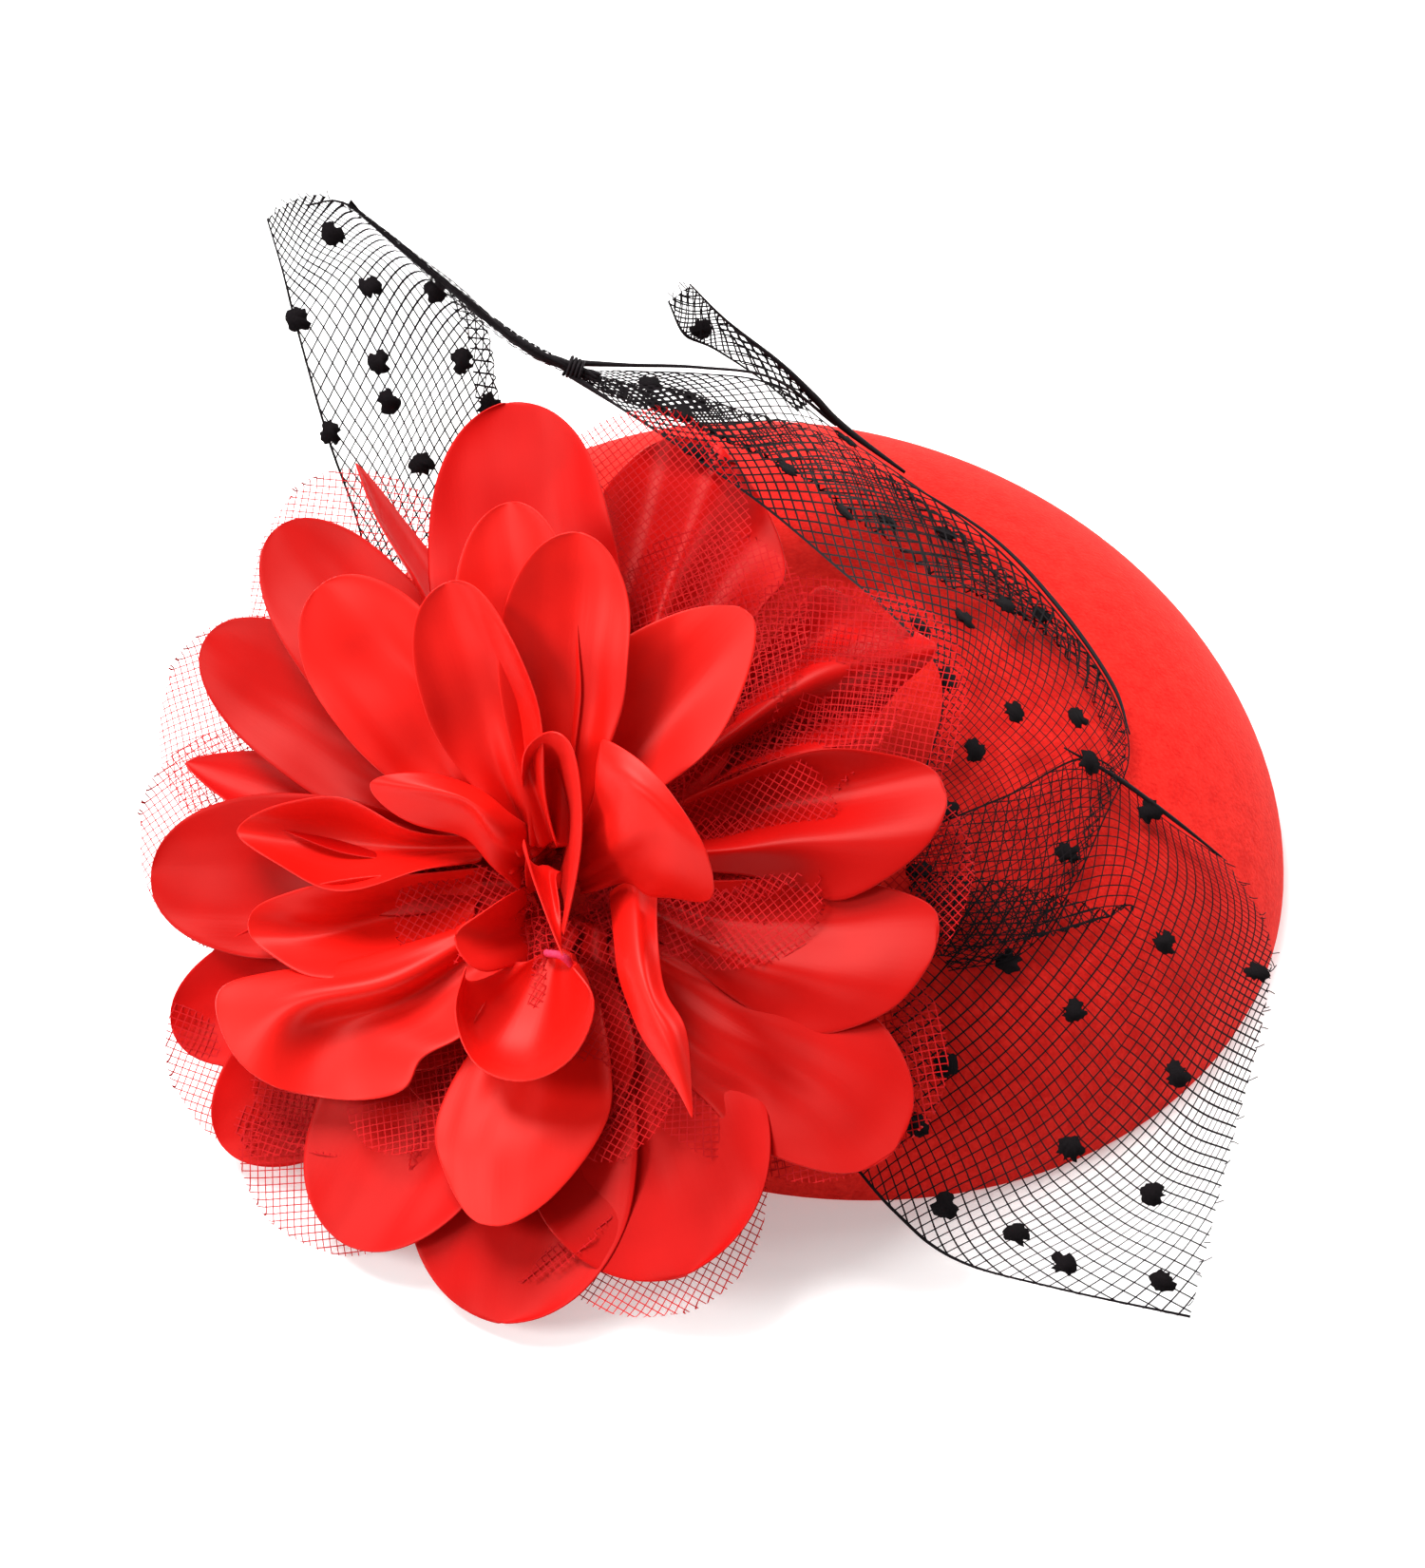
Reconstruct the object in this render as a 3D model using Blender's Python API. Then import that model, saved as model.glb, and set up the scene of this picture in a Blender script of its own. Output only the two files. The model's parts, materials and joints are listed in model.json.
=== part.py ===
"""A fascinator headpiece: a small oval felt cap with a satin flower and a dotted net veil.

The cap stands on its rim. +Z is up, -Y is the wearer's front, and the flower sits on the -X side.
The origin is the centre of the rim. All dimensions are in metres.
"""
import math

import bmesh
import bpy
from mathutils import Matrix, Vector

MM = 0.001

# --- driving dimensions -------------------------------------------------------------------------
CAP_HALF_WIDTH = 65 * MM
CAP_HALF_LENGTH = 74 * MM
CAP_HEIGHT = 32 * MM
CAP_SHOULDER = 2.87          # how square the plan of the dome's shoulder is
CAP_CROWNING = 1.85          # how round the dome's top is
FELT = 2.2 * MM
CAP_STEPS = 56
GAP = 0.3 * MM

WIRE_RADIUS = 0.9 * MM
WIRE_INSET = 3.8 * MM
WIRE_HEIGHT = 2.4 * MM
TAPE_INSET = 6.4 * MM
TAPE_THICKNESS = 0.6 * MM
TAPE_BOTTOM = 0.8 * MM
TAPE_TOP = 10.4 * MM

LINING_BOTTOM = 11.4 * MM
LINING_THICKNESS = 1.2 * MM
LINING_INSET = 8.2 * MM
PLATE_THICKNESS = 1.2 * MM
PLATE_INSET = 9.6 * MM

CLIP_OFFSET = 31 * MM        # each clip's distance from the cap's middle, front and back
CLIP_PIVOT_X = 8 * MM
CLIP_PIVOT_Z = 6.2 * MM
CLIP_WIDTH = 8 * MM
JAW_LENGTH = 31 * MM
HANDLE_LENGTH = 15 * MM
SHEET_METAL = 0.8 * MM
TOP_JAW_BOTTOM = 2.8 * MM    # above the pivot
EAR_RADIUS = 1.9 * MM
PIN_RADIUS = 0.6 * MM
PIN_HOLE_RADIUS = 0.65 * MM
PIN_HEAD_RADIUS = 1.1 * MM
PIN_HEAD_THICKNESS = 0.5 * MM
SPRING_RADIUS = 1.2 * MM
SPRING_WIRE = 0.2 * MM
SPRING_TURNS = 4
PATCH_SIZE = (34 * MM, 10 * MM, 1.0 * MM)

FLOWER_TOUCH = (-44 * MM, -26 * MM)     # where the flower's back touches the dome, in plan
FLOWER_CENTRE = (-46.6 * MM, -10.4 * MM)
FLOWER_DISC_RADIUS = 19 * MM
FLOWER_DISC_THICKNESS = 1.4 * MM
LAYER_THICKNESS = 0.8 * MM
LAYER_PITCH = 1.15 * MM
# name, petals, radius, rise of the rim above the middle, turn in degrees, notch depth
FLOWER_LAYERS = (
    ("petal_layer_1", 5, 58 * MM, 3 * MM, 0, 0.36),
    ("tulle_layer_1", 6, 57 * MM, 5 * MM, 12, 0.16),
    ("petal_layer_2", 5, 57 * MM, 6.5 * MM, 24, 0.36),
    ("petal_layer_3", 5, 55 * MM, 9 * MM, 48, 0.36),
    ("tulle_layer_2", 6, 51 * MM, 11 * MM, 30, 0.16),
    ("petal_layer_4", 5, 47 * MM, 14 * MM, 10, 0.32),
    ("petal_layer_5", 4, 42 * MM, 17 * MM, 55, 0.30),
    ("tulle_layer_3", 5, 36 * MM, 17 * MM, 20, 0.14),
    ("petal_layer_6", 4, 30 * MM, 19 * MM, 5, 0.26),
    ("tulle_layer_4", 4, 25 * MM, 17 * MM, 40, 0.12),
    ("petal_layer_7", 3, 20 * MM, 14 * MM, 25, 0.22),
)

NET_THICKNESS = 0.8 * MM
NET_FLARE_START = 0.88       # share of the cap's half-width where the net leaves the felt
NET_FLARE_END = 1.40
NET_HEM_HEIGHT = 1.6 * MM


# --- materials ----------------------------------------------------------------------------------
def material(name, colour, roughness, metallic=0.0):
    made = bpy.data.materials.new(name)
    made.use_nodes = True
    shader = made.node_tree.nodes["Principled BSDF"]
    shader.inputs["Base Color"].default_value = (*colour, 1.0)
    shader.inputs["Roughness"].default_value = roughness
    shader.inputs["Metallic"].default_value = metallic
    return made


def finish(obj, colour, roughness, metallic=0.0):
    """Give the object its own material and smooth shading with crisp edges."""
    obj.data.materials.append(material(obj.name + "_finish", colour, roughness, metallic))
    if obj.type == "MESH":
        obj.data.shade_smooth()
        obj.data.set_sharp_from_angle(angle=math.radians(40))
    return obj


FELT_RED = (0.90, 0.035, 0.027)
SATIN_RED = (0.80, 0.012, 0.015)
TULLE_RED = (0.70, 0.02, 0.02)
RIBBON_RED = (0.55, 0.01, 0.012)
NET_BLACK = (0.015, 0.012, 0.016)
STEEL = (0.62, 0.62, 0.64)
BUCKRAM = (0.80, 0.76, 0.66)
THREAD_PINK = (0.90, 0.25, 0.30)


# --- building helpers ---------------------------------------------------------------------------
def new_object(name, data, parent=None):
    obj = bpy.data.objects.new(name, data)
    bpy.context.scene.collection.objects.link(obj)
    obj.parent = parent
    return obj


def mesh_object(name, bm, parent=None):
    bmesh.ops.recalc_face_normals(bm, faces=bm.faces)
    mesh = bpy.data.meshes.new(name)
    bm.to_mesh(mesh)
    bm.free()
    return new_object(name, mesh, parent)


def empty(name, location, rotation=None):
    holder = new_object(name, None)
    holder.location = location
    if rotation is not None:
        holder.rotation_euler = rotation.to_euler()
    return holder


def profile_loop(bm, points):
    """A closed wire in the XZ plane through the given (x, z) points."""
    verts = [bm.verts.new((x, 0, z)) for x, z in points]
    for one, two in zip(verts, verts[1:] + verts[:1]):
        bm.edges.new((one, two))
    return verts


def turned(name, points, steps, parent=None):
    """A solid of revolution about Z from a closed profile of (radius, height) points."""
    bm = bmesh.new()
    profile_loop(bm, points)
    bmesh.ops.spin(bm, geom=bm.verts[:] + bm.edges[:], axis=(0, 0, 1), cent=(0, 0, 0),
                   angle=math.tau, steps=steps, use_merge=True)
    bmesh.ops.remove_doubles(bm, verts=bm.verts, dist=0.001 * MM)
    bmesh.ops.dissolve_degenerate(bm, edges=bm.edges, dist=0.001 * MM)
    return mesh_object(name, bm, parent)


def stretch_to_oval(obj):
    """Round pieces of the cap become ovals, in the mesh, along the cap's length."""
    obj.data.transform(Matrix.Diagonal((1, CAP_HALF_LENGTH / CAP_HALF_WIDTH, 1, 1)))
    return obj


def box(name, low, high, parent=None):
    bm = bmesh.new()
    size = Vector(high) - Vector(low)
    middle = (Vector(high) + Vector(low)) / 2
    bmesh.ops.create_cube(bm, size=1, matrix=Matrix.Translation(middle) @ Matrix.Diagonal((*size, 1)))
    return mesh_object(name, bm, parent)


def extruded(name, outline, width, parent=None):
    """A side outline of (x, z) points, extruded to a width centred on y = 0."""
    bm = bmesh.new()
    verts = [bm.verts.new((x, -width / 2, z)) for x, z in outline]
    face = bm.faces.new(verts)
    pushed = bmesh.ops.extrude_face_region(bm, geom=[face])
    moved = [item for item in pushed["geom"] if isinstance(item, bmesh.types.BMVert)]
    bmesh.ops.translate(bm, verts=moved, vec=(0, width, 0))
    return mesh_object(name, bm, parent)


def boolean(obj, other, operation):
    other.hide_render = True
    other.display_type = "WIRE"
    change = obj.modifiers.new(other.name, "BOOLEAN")
    change.operation = operation
    change.solver = "EXACT"
    change.object = other


def solidify(obj, thickness):
    shell = obj.modifiers.new("thickness", "SOLIDIFY")
    shell.thickness = thickness
    shell.offset = 0
    shell.use_even_offset = False


# --- the cap's shape ----------------------------------------------------------------------------
def dome_profile(half_width, height, steps):
    """(radius, height) points of the dome, from its middle down to its rim."""
    points = []
    for step in range(steps + 1):
        angle = step / steps * math.pi / 2
        radius = half_width * math.sin(angle) ** (2 / CAP_SHOULDER)
        points.append((radius, height * max(math.cos(angle), 0) ** (2 / CAP_CROWNING)))
    points[-1] = (half_width, 0)
    return points


def share_of_cap(x, y):
    return math.hypot(x / CAP_HALF_WIDTH, y / CAP_HALF_LENGTH)


def dome_height(share):
    if share >= 1:
        return 0.0
    return CAP_HEIGHT * (1 - share ** CAP_SHOULDER) ** (1 / CAP_CROWNING)


def dome_normal(x, y):
    step = 0.1 * MM
    slope_x = dome_height(share_of_cap(x + step, y)) - dome_height(share_of_cap(x - step, y))
    slope_y = dome_height(share_of_cap(x, y + step)) - dome_height(share_of_cap(x, y - step))
    return Vector((-slope_x, -slope_y, 2 * step)).normalized()


def crown_shell():
    outer = dome_profile(CAP_HALF_WIDTH, CAP_HEIGHT, 11)
    inner = dome_profile(CAP_HALF_WIDTH - FELT, CAP_HEIGHT - FELT, 9)
    crown = turned("crown_shell", outer + inner[::-1], CAP_STEPS)
    return finish(stretch_to_oval(crown), FELT_RED, 0.95)


def rim_wire():
    middle = CAP_HALF_WIDTH - WIRE_INSET
    ring = []
    for step in range(6):
        angle = step / 6 * math.tau
        ring.append((middle + WIRE_RADIUS * math.cos(angle), WIRE_HEIGHT + WIRE_RADIUS * math.sin(angle)))
    return finish(stretch_to_oval(turned("rim_wire", ring, 40)), STEEL, 0.4, 1.0)


def rim_tape():
    outer = CAP_HALF_WIDTH - TAPE_INSET
    inner = outer - TAPE_THICKNESS
    band = [(outer, TAPE_BOTTOM), (outer, TAPE_TOP), (inner, TAPE_TOP), (inner, TAPE_BOTTOM)]
    return finish(stretch_to_oval(turned("rim_tape", band, 40)), RIBBON_RED, 0.7)


def oval_disc(name, inset, bottom, thickness, colour, roughness):
    radius = CAP_HALF_WIDTH - inset
    section = [(0, bottom), (radius, bottom), (radius, bottom + thickness), (0, bottom + thickness)]
    return finish(stretch_to_oval(turned(name, section, 40)), colour, roughness)


def lining():
    oval_disc("lining_felt", LINING_INSET, LINING_BOTTOM, LINING_THICKNESS, RIBBON_RED, 0.95)
    plate_bottom = LINING_BOTTOM + LINING_THICKNESS + GAP
    oval_disc("insert_plate", PLATE_INSET, plate_bottom, PLATE_THICKNESS, BUCKRAM, 0.9)


# --- the clips ----------------------------------------------------------------------------------
def cylinder_across(name, radius, length, centre_y, parent, steps=16):
    bm = bmesh.new()
    turn = Matrix.Translation((0, centre_y, 0)) @ Matrix.Rotation(math.pi / 2, 4, "X")
    bmesh.ops.create_cone(bm, cap_ends=True, segments=steps, radius1=radius, radius2=radius,
                          depth=length, matrix=turn)
    return mesh_object(name, bm, parent)


def jaw_ears(jaw, name, centre_y, plate_level, holder):
    """Two tabs that join the jaw's plate to its pin, with the pin's hole bored through both."""
    for side in (-1, 1):
        tag = f"{name}_{'left' if side < 0 else 'right'}"
        y = side * centre_y
        knuckle = cylinder_across(tag + "_knuckle", EAR_RADIUS, SHEET_METAL, y, holder)
        boolean(jaw, knuckle, "UNION")
        reach = sorted((0, plate_level))
        tab = box(tag + "_tab", (-EAR_RADIUS * 0.97, y - SHEET_METAL / 2, reach[0]),
                  (EAR_RADIUS * 0.97, y + SHEET_METAL / 2, reach[1]), holder)
        boolean(jaw, tab, "UNION")
    bore = cylinder_across(name + "_bore", PIN_HOLE_RADIUS, CLIP_WIDTH * 2, 0, holder)
    boolean(jaw, bore, "DIFFERENCE")


def clip_top_jaw(name, holder):
    """The flat half that is fixed to the lining, with its tip turned down a little."""
    bottom = TOP_JAW_BOTTOM
    top = bottom + SHEET_METAL
    outline = [(-JAW_LENGTH, bottom), (HANDLE_LENGTH, bottom), (HANDLE_LENGTH, top), (-JAW_LENGTH, top)]
    jaw = extruded(name + "_top_jaw", outline, CLIP_WIDTH, holder)
    jaw_ears(jaw, name + "_top", CLIP_WIDTH / 2 - SHEET_METAL / 2, bottom + SHEET_METAL / 2, holder)
    return finish(jaw, STEEL, 0.3, 1.0)


def lower_jaw_line(x):
    """Height of the lower jaw's middle line above the pivot, along the clip."""
    if x > 0:
        return -2.0 * MM - x * 0.19
    bow = math.sin(min(-x / JAW_LENGTH, 1) * math.pi / 2) ** 2
    return -2.0 * MM + bow * 3.9 * MM


def clip_lower_jaw(name, holder):
    """The bowed half that swings: toothed at its tip, pressed by the thumb at its other end."""
    half = SHEET_METAL / 2
    stations = [-JAW_LENGTH + step / 12 * (JAW_LENGTH + HANDLE_LENGTH) for step in range(13)]
    below = [(x, lower_jaw_line(x) - half) for x in stations]
    above = [(x, lower_jaw_line(x) + half) for x in reversed(stations)]
    above = [point for point in above if point[0] > -JAW_LENGTH + 6 * MM]
    teeth = []
    for tooth in range(4):
        x = -JAW_LENGTH + (5.5 - 1.5 * tooth) * MM
        level = lower_jaw_line(x) + half
        teeth.append((x, level - 0.3 * MM))
        teeth.append((x - 0.7 * MM, level + 0.1 * MM))
    width = CLIP_WIDTH - 2 * SHEET_METAL - 4 * GAP / 3
    jaw = extruded(name + "_lower_jaw", below + above + teeth, width, holder)
    jaw_ears(jaw, name + "_lower", width / 2 - SHEET_METAL / 2, lower_jaw_line(0), holder)
    return finish(jaw, STEEL, 0.3, 1.0)


def clip_pin(name, holder):
    """A round pin across the clip, headed at both ends."""
    shank = CLIP_WIDTH / 2 + GAP
    end = shank + PIN_HEAD_THICKNESS
    section = [(0, -end), (PIN_HEAD_RADIUS, -end), (PIN_HEAD_RADIUS, -shank), (PIN_RADIUS, -shank),
               (PIN_RADIUS, shank), (PIN_HEAD_RADIUS, shank), (PIN_HEAD_RADIUS, end), (0, end)]
    pin = turned(name + "_pin", section, 16, holder)
    pin.data.transform(Matrix.Rotation(math.pi / 2, 4, "X"))
    return finish(pin, STEEL, 0.25, 1.0)


def clip_spring(name, holder):
    """A torsion spring on the pin, with one leg under each half of the handle."""
    half_length = SPRING_TURNS * SPRING_WIRE * 1.4
    leg = HANDLE_LENGTH * 0.6
    points = [Vector((leg, -half_length, TOP_JAW_BOTTOM - GAP - SPRING_WIRE))]
    turns = SPRING_TURNS + 0.5
    steps = int(turns * 10)
    for step in range(steps + 1):
        share = step / steps
        angle = share * turns * math.tau
        y = -half_length + share * 2 * half_length
        points.append(Vector((-SPRING_RADIUS * math.sin(angle), y, SPRING_RADIUS * math.cos(angle))))
    leg_end = lower_jaw_line(leg) + SHEET_METAL / 2 + GAP + SPRING_WIRE
    points.append(Vector((leg, half_length, leg_end)))
    curve = bpy.data.curves.new(name + "_spring", "CURVE")
    curve.dimensions = "3D"
    curve.bevel_depth = SPRING_WIRE
    curve.bevel_resolution = 1
    curve.use_fill_caps = True
    line = curve.splines.new("POLY")
    line.points.add(len(points) - 1)
    for spot, point in zip(line.points, points):
        spot.co = (*point, 1)
    return finish(new_object(name + "_spring", curve, holder), STEEL, 0.25, 1.0)


def clip_patch(name, holder):
    """A felt pad between the lining and the fixed half."""
    length, width, thickness = PATCH_SIZE
    bottom = TOP_JAW_BOTTOM + SHEET_METAL + GAP
    middle = (HANDLE_LENGTH - JAW_LENGTH) / 2
    patch = box(name + "_patch", (middle - length / 2, -width / 2, bottom),
                (middle + length / 2, width / 2, bottom + thickness), holder)
    return finish(patch, RIBBON_RED, 0.95)


def clip(name, y):
    holder = empty(name + "_pivot", (CLIP_PIVOT_X, y, CLIP_PIVOT_Z))
    clip_patch(name, holder)
    clip_top_jaw(name, holder)
    clip_lower_jaw(name, holder)
    clip_pin(name, holder)
    clip_spring(name, holder)


# --- the flower ---------------------------------------------------------------------------------
def flower_seat():
    """The empty that the flower is built on: its Z is the flower's axis, its X lies level."""
    x, y = FLOWER_TOUCH
    touch = Vector((x, y, dome_height(share_of_cap(x, y))))
    axis = dome_normal(x, y)
    cx, cy = FLOWER_CENTRE
    drop = axis.x * (cx - touch.x) + axis.y * (cy - touch.y)
    centre = Vector((cx, cy, touch.z - drop / axis.z))
    level = Vector((0, 0, 1)).cross(axis).normalized()
    rotation = Matrix((level, axis.cross(level), axis)).transposed()
    return empty("flower_seat", centre + axis * GAP, rotation)


def flower_disc(seat):
    bm = bmesh.new()
    middle = Matrix.Translation((0, 0, FLOWER_DISC_THICKNESS / 2))
    bmesh.ops.create_cone(bm, cap_ends=True, segments=32, radius1=FLOWER_DISC_RADIUS,
                          radius2=FLOWER_DISC_RADIUS, depth=FLOWER_DISC_THICKNESS, matrix=middle)
    return finish(mesh_object("flower_disc", bm, seat), FELT_RED, 0.95)


def flower_layer(seat, name, petals, radius, rise, turn, notch, level, colour, roughness):
    """One cut disc of cloth with rounded petals, dished upwards, its middle at a given level."""
    bm = bmesh.new()
    bmesh.ops.create_circle(bm, cap_ends=True, cap_tris=True, segments=petals * 6, radius=1)
    spokes = [edge for edge in bm.edges if not edge.is_boundary]
    bmesh.ops.subdivide_edges(bm, edges=spokes, cuts=2, use_grid_fill=True)
    for vert in bm.verts:
        share = vert.co.length
        angle = math.atan2(vert.co.y, vert.co.x)
        lobe = abs(math.cos(petals * angle / 2)) ** 0.7
        reach = radius * share * (1 - notch * share * (1 - lobe))
        heading = angle + math.radians(turn)
        height = level + rise * (reach / radius) ** 2
        vert.co = (reach * math.cos(heading), reach * math.sin(heading), height)
    layer = mesh_object(name, bm, seat)
    solidify(layer, LAYER_THICKNESS)
    return finish(layer, colour, roughness)


def flower_knot(seat, level):
    """The end of the sewing thread that holds the layers together."""
    bm = bmesh.new()
    shape = Matrix.Translation((0, 0, level)) @ Matrix.Diagonal((2.0 * MM, 1.4 * MM, 0.9 * MM, 1))
    bmesh.ops.create_icosphere(bm, subdivisions=2, radius=1, matrix=shape)
    return finish(mesh_object("flower_knot", bm, seat), THREAD_PINK, 0.6)


def flower():
    seat = flower_seat()
    flower_disc(seat)
    level = FLOWER_DISC_THICKNESS + GAP + LAYER_THICKNESS / 2
    for name, petals, radius, rise, turn, notch in FLOWER_LAYERS:
        satin = name.startswith("petal")
        colour, roughness = (SATIN_RED, 0.35) if satin else (TULLE_RED, 0.8)
        flower_layer(seat, name, petals, radius, rise, turn, notch, level, colour, roughness)
        level += LAYER_PITCH
    flower_knot(seat, level + 0.9 * MM)


# --- the veil -----------------------------------------------------------------------------------
def net_height(x, y):
    """Where the net lies: on the felt, and past the dome's shoulder flaring out to its hem."""
    share = share_of_cap(x, y)
    if share <= NET_FLARE_START:
        return dome_height(share)
    fall = min((share - NET_FLARE_START) / (NET_FLARE_END - NET_FLARE_START), 1)
    return dome_height(NET_FLARE_START) * (1 - fall) + NET_HEM_HEIGHT * fall


def on_hat(x, y, lift):
    """A point of the net, x and y and its lift above the lie of the net in millimetres."""
    return Vector((x * MM, y * MM, net_height(x * MM, y * MM) + lift * MM))


def free(x, y, z):
    return Vector((x, y, z)) * MM


def smooth_between(points, share):
    """A point on the smooth curve through the given points, at a share of its length."""
    place = share * (len(points) - 1)
    index = min(int(place), len(points) - 2)
    t = place - index
    before = points[max(index - 1, 0)]
    start = points[index]
    end = points[index + 1]
    after = points[min(index + 2, len(points) - 1)]
    return 0.5 * (2 * start + (end - before) * t + (2 * before - 5 * start + 4 * end - after) * t ** 2
                  + (3 * start - before - 3 * end + after) * t ** 3)


def net_panel(name, rows, along, across, lift=None):
    """A panel of net through rows of points, kept a lift above the felt where it lies on it."""
    bm = bmesh.new()
    bmesh.ops.create_grid(bm, x_segments=along, y_segments=across, size=0.5)
    for vert in bm.verts:
        row_share = vert.co.x + 0.5
        rung = [smooth_between(row, vert.co.y + 0.5) for row in rows]
        point = smooth_between(rung, row_share)
        if lift is not None:
            point.z = max(point.z, net_height(point.x, point.y) + lift)
        vert.co = point
    panel = mesh_object(name, bm)
    solidify(panel, NET_THICKNESS)
    return finish(panel, NET_BLACK, 0.8)


def veil_sail():
    """The end that stands up behind the flower, from the cap to its cut top edge."""
    rows = (
        (free(-37, 19, 29), free(-28, 23, 32.5), free(-17, 27, 34)),
        (free(-41, 43, 37), free(-30, 45, 46), free(-13, 44, 57)),
        (free(-41.5, 53, 51), free(-31, 54, 57), free(-17, 52, 63)),
        (free(-39, 63, 60), free(-31, 63, 65), free(-21, 62, 70)),
        (free(-34, 77, 73), free(-30, 75, 75), free(-26, 73, 76)),
    )
    return net_panel("veil_sail", rows, 14, 6)


def veil_band():
    """The folded length that runs from the twist over the cap's far side to the gather."""
    rows = (
        (free(-11, 38, 61), free(-10, 39.5, 60.5), free(-9, 41, 60)),
        (free(-4, 27, 53), free(0, 31, 54), free(4, 35, 55)),
        (on_hat(7, 21, 8), on_hat(13, 27, 10), free(21, 32, 43)),
        (on_hat(12, 7, 4), on_hat(22, 22, 3.5), on_hat(34, 36, 3.5)),
        (on_hat(12, -11, 3.5), on_hat(22, 1, 3.5), on_hat(31, 12, 3.5)),
        (on_hat(6, -23, 3.5), on_hat(19, -20, 3.5), on_hat(31, -17, 3.5)),
        (on_hat(-3, -35, 3.5), on_hat(13, -34, 3.5), on_hat(30, -33, 3.5)),
        (on_hat(-12, -42, 3.5), on_hat(7, -43, 3.5), on_hat(25, -43, 3.5)),
    )
    return net_panel("veil_band", rows, 22, 8, 3.2 * MM)


def veil_tail():
    """The short cut end that sticks out above the band."""
    rows = (
        (free(19, 34, 46), free(21, 35.5, 45.4), free(23, 36.5, 44)),
        (free(17, 41, 51), free(19, 43, 50), free(21, 44, 48)),
        (free(12, 46, 57.5), free(14, 48, 56.5), free(17, 49, 54.5)),
    )
    return net_panel("veil_tail", rows, 6, 3)


def veil_fan():
    """The spread end: gathered beside the flower, over the cap's front, down to its cut hem."""
    rows = (
        (on_hat(-9, -38, 1.2), on_hat(-16, -44, 1.2), on_hat(-23, -48, 1.2), on_hat(-31, -51, 1.2)),
        (on_hat(7, -41, 1.2), on_hat(-4, -53, 1.2), on_hat(-18, -59, 1.2), on_hat(-35, -58, 1.2)),
        (on_hat(21, -45, 1.2), on_hat(7, -63, 1.2), on_hat(-12, -72, 1.2), on_hat(-38, -68, 1.2)),
        (on_hat(30, -54, 1.2), on_hat(16, -71, 1.2), on_hat(-8, -84, 1.2), on_hat(-33, -81, 1.2)),
        (on_hat(37, -61, 1.2), on_hat(23, -76, 1.2), on_hat(2, -89, 1.2), on_hat(-14, -101, 1.2)),
    )
    return net_panel("veil_fan", rows, 16, 14, 1.2 * MM)


def thread_ring(name, centre, axis, radius):
    """A few turns of sewing thread, drawn tight round the net."""
    thread = 0.5 * MM
    ring = []
    for step in range(6):
        angle = step / 6 * math.tau
        ring.append((radius + thread * math.cos(angle), thread * math.sin(angle)))
    made = turned(name, ring, 16)
    made.location = centre
    made.rotation_euler = axis.to_track_quat("Z", "Y").to_euler()
    return finish(made, NET_BLACK, 0.7)


def veil_tacks():
    """Thread at the twist, and a knot at the gather beside the flower."""
    thread_ring("veil_twist_thread", free(-9.3, 38.4, 59.6), free(10, -8.5, -6.5), 3.6 * MM)
    bm = bmesh.new()
    spot = Matrix.Translation(on_hat(-13, -38, 5.6)) @ Matrix.Diagonal((2.2 * MM, 1.5 * MM, 0.9 * MM, 1))
    bmesh.ops.create_icosphere(bm, subdivisions=2, radius=1, matrix=spot)
    finish(mesh_object("veil_gather_knot", bm), NET_BLACK, 0.7)


# --- the whole headpiece ------------------------------------------------------------------------
def main():
    for obj in list(bpy.data.objects):
        bpy.data.objects.remove(obj, do_unlink=True)
    crown_shell()
    rim_wire()
    rim_tape()
    lining()
    clip("clip_front", -CLIP_OFFSET)
    clip("clip_back", CLIP_OFFSET)
    flower()
    veil_sail()
    veil_band()
    veil_tail()
    veil_fan()
    veil_tacks()


main()
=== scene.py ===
# %% [markdown]
# # A felt fascinator with a satin flower and a dotted net veil
#
# The object is a small oval cap of pressed felt that stands on its rim. A flower of singed satin
# petals and red tulle is sewn to one shoulder, and a strip of black dotted net is gathered round it.
# The imported CAD model fixes every size and place. This script only dresses it: each soft solid is
# replaced by cloth that is shaped, and each hard part keeps its shape and gets a finish.

# %% Load the fixed frame
import json
import math
import random
from dataclasses import dataclass

import bmesh
import bpy
import numpy as np
from mathutils import Matrix, Vector, noise


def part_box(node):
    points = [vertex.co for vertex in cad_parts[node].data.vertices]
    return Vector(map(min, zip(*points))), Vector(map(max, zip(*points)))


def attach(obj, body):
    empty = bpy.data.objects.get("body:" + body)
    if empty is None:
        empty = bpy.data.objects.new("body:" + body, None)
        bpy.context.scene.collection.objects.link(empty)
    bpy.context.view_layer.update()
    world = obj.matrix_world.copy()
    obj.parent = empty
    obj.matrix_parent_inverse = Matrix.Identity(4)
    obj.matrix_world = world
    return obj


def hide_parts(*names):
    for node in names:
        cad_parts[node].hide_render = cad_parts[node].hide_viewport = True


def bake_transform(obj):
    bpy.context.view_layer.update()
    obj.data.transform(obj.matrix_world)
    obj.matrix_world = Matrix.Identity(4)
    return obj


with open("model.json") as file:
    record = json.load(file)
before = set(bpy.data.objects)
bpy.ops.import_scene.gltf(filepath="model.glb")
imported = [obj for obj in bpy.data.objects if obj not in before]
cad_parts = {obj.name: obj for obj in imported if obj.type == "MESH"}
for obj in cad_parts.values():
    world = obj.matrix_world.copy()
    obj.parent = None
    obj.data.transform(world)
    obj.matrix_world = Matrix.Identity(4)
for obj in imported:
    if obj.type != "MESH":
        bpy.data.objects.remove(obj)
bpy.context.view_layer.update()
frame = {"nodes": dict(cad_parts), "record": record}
MM = 0.001
BODY = "headpiece"

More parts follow.
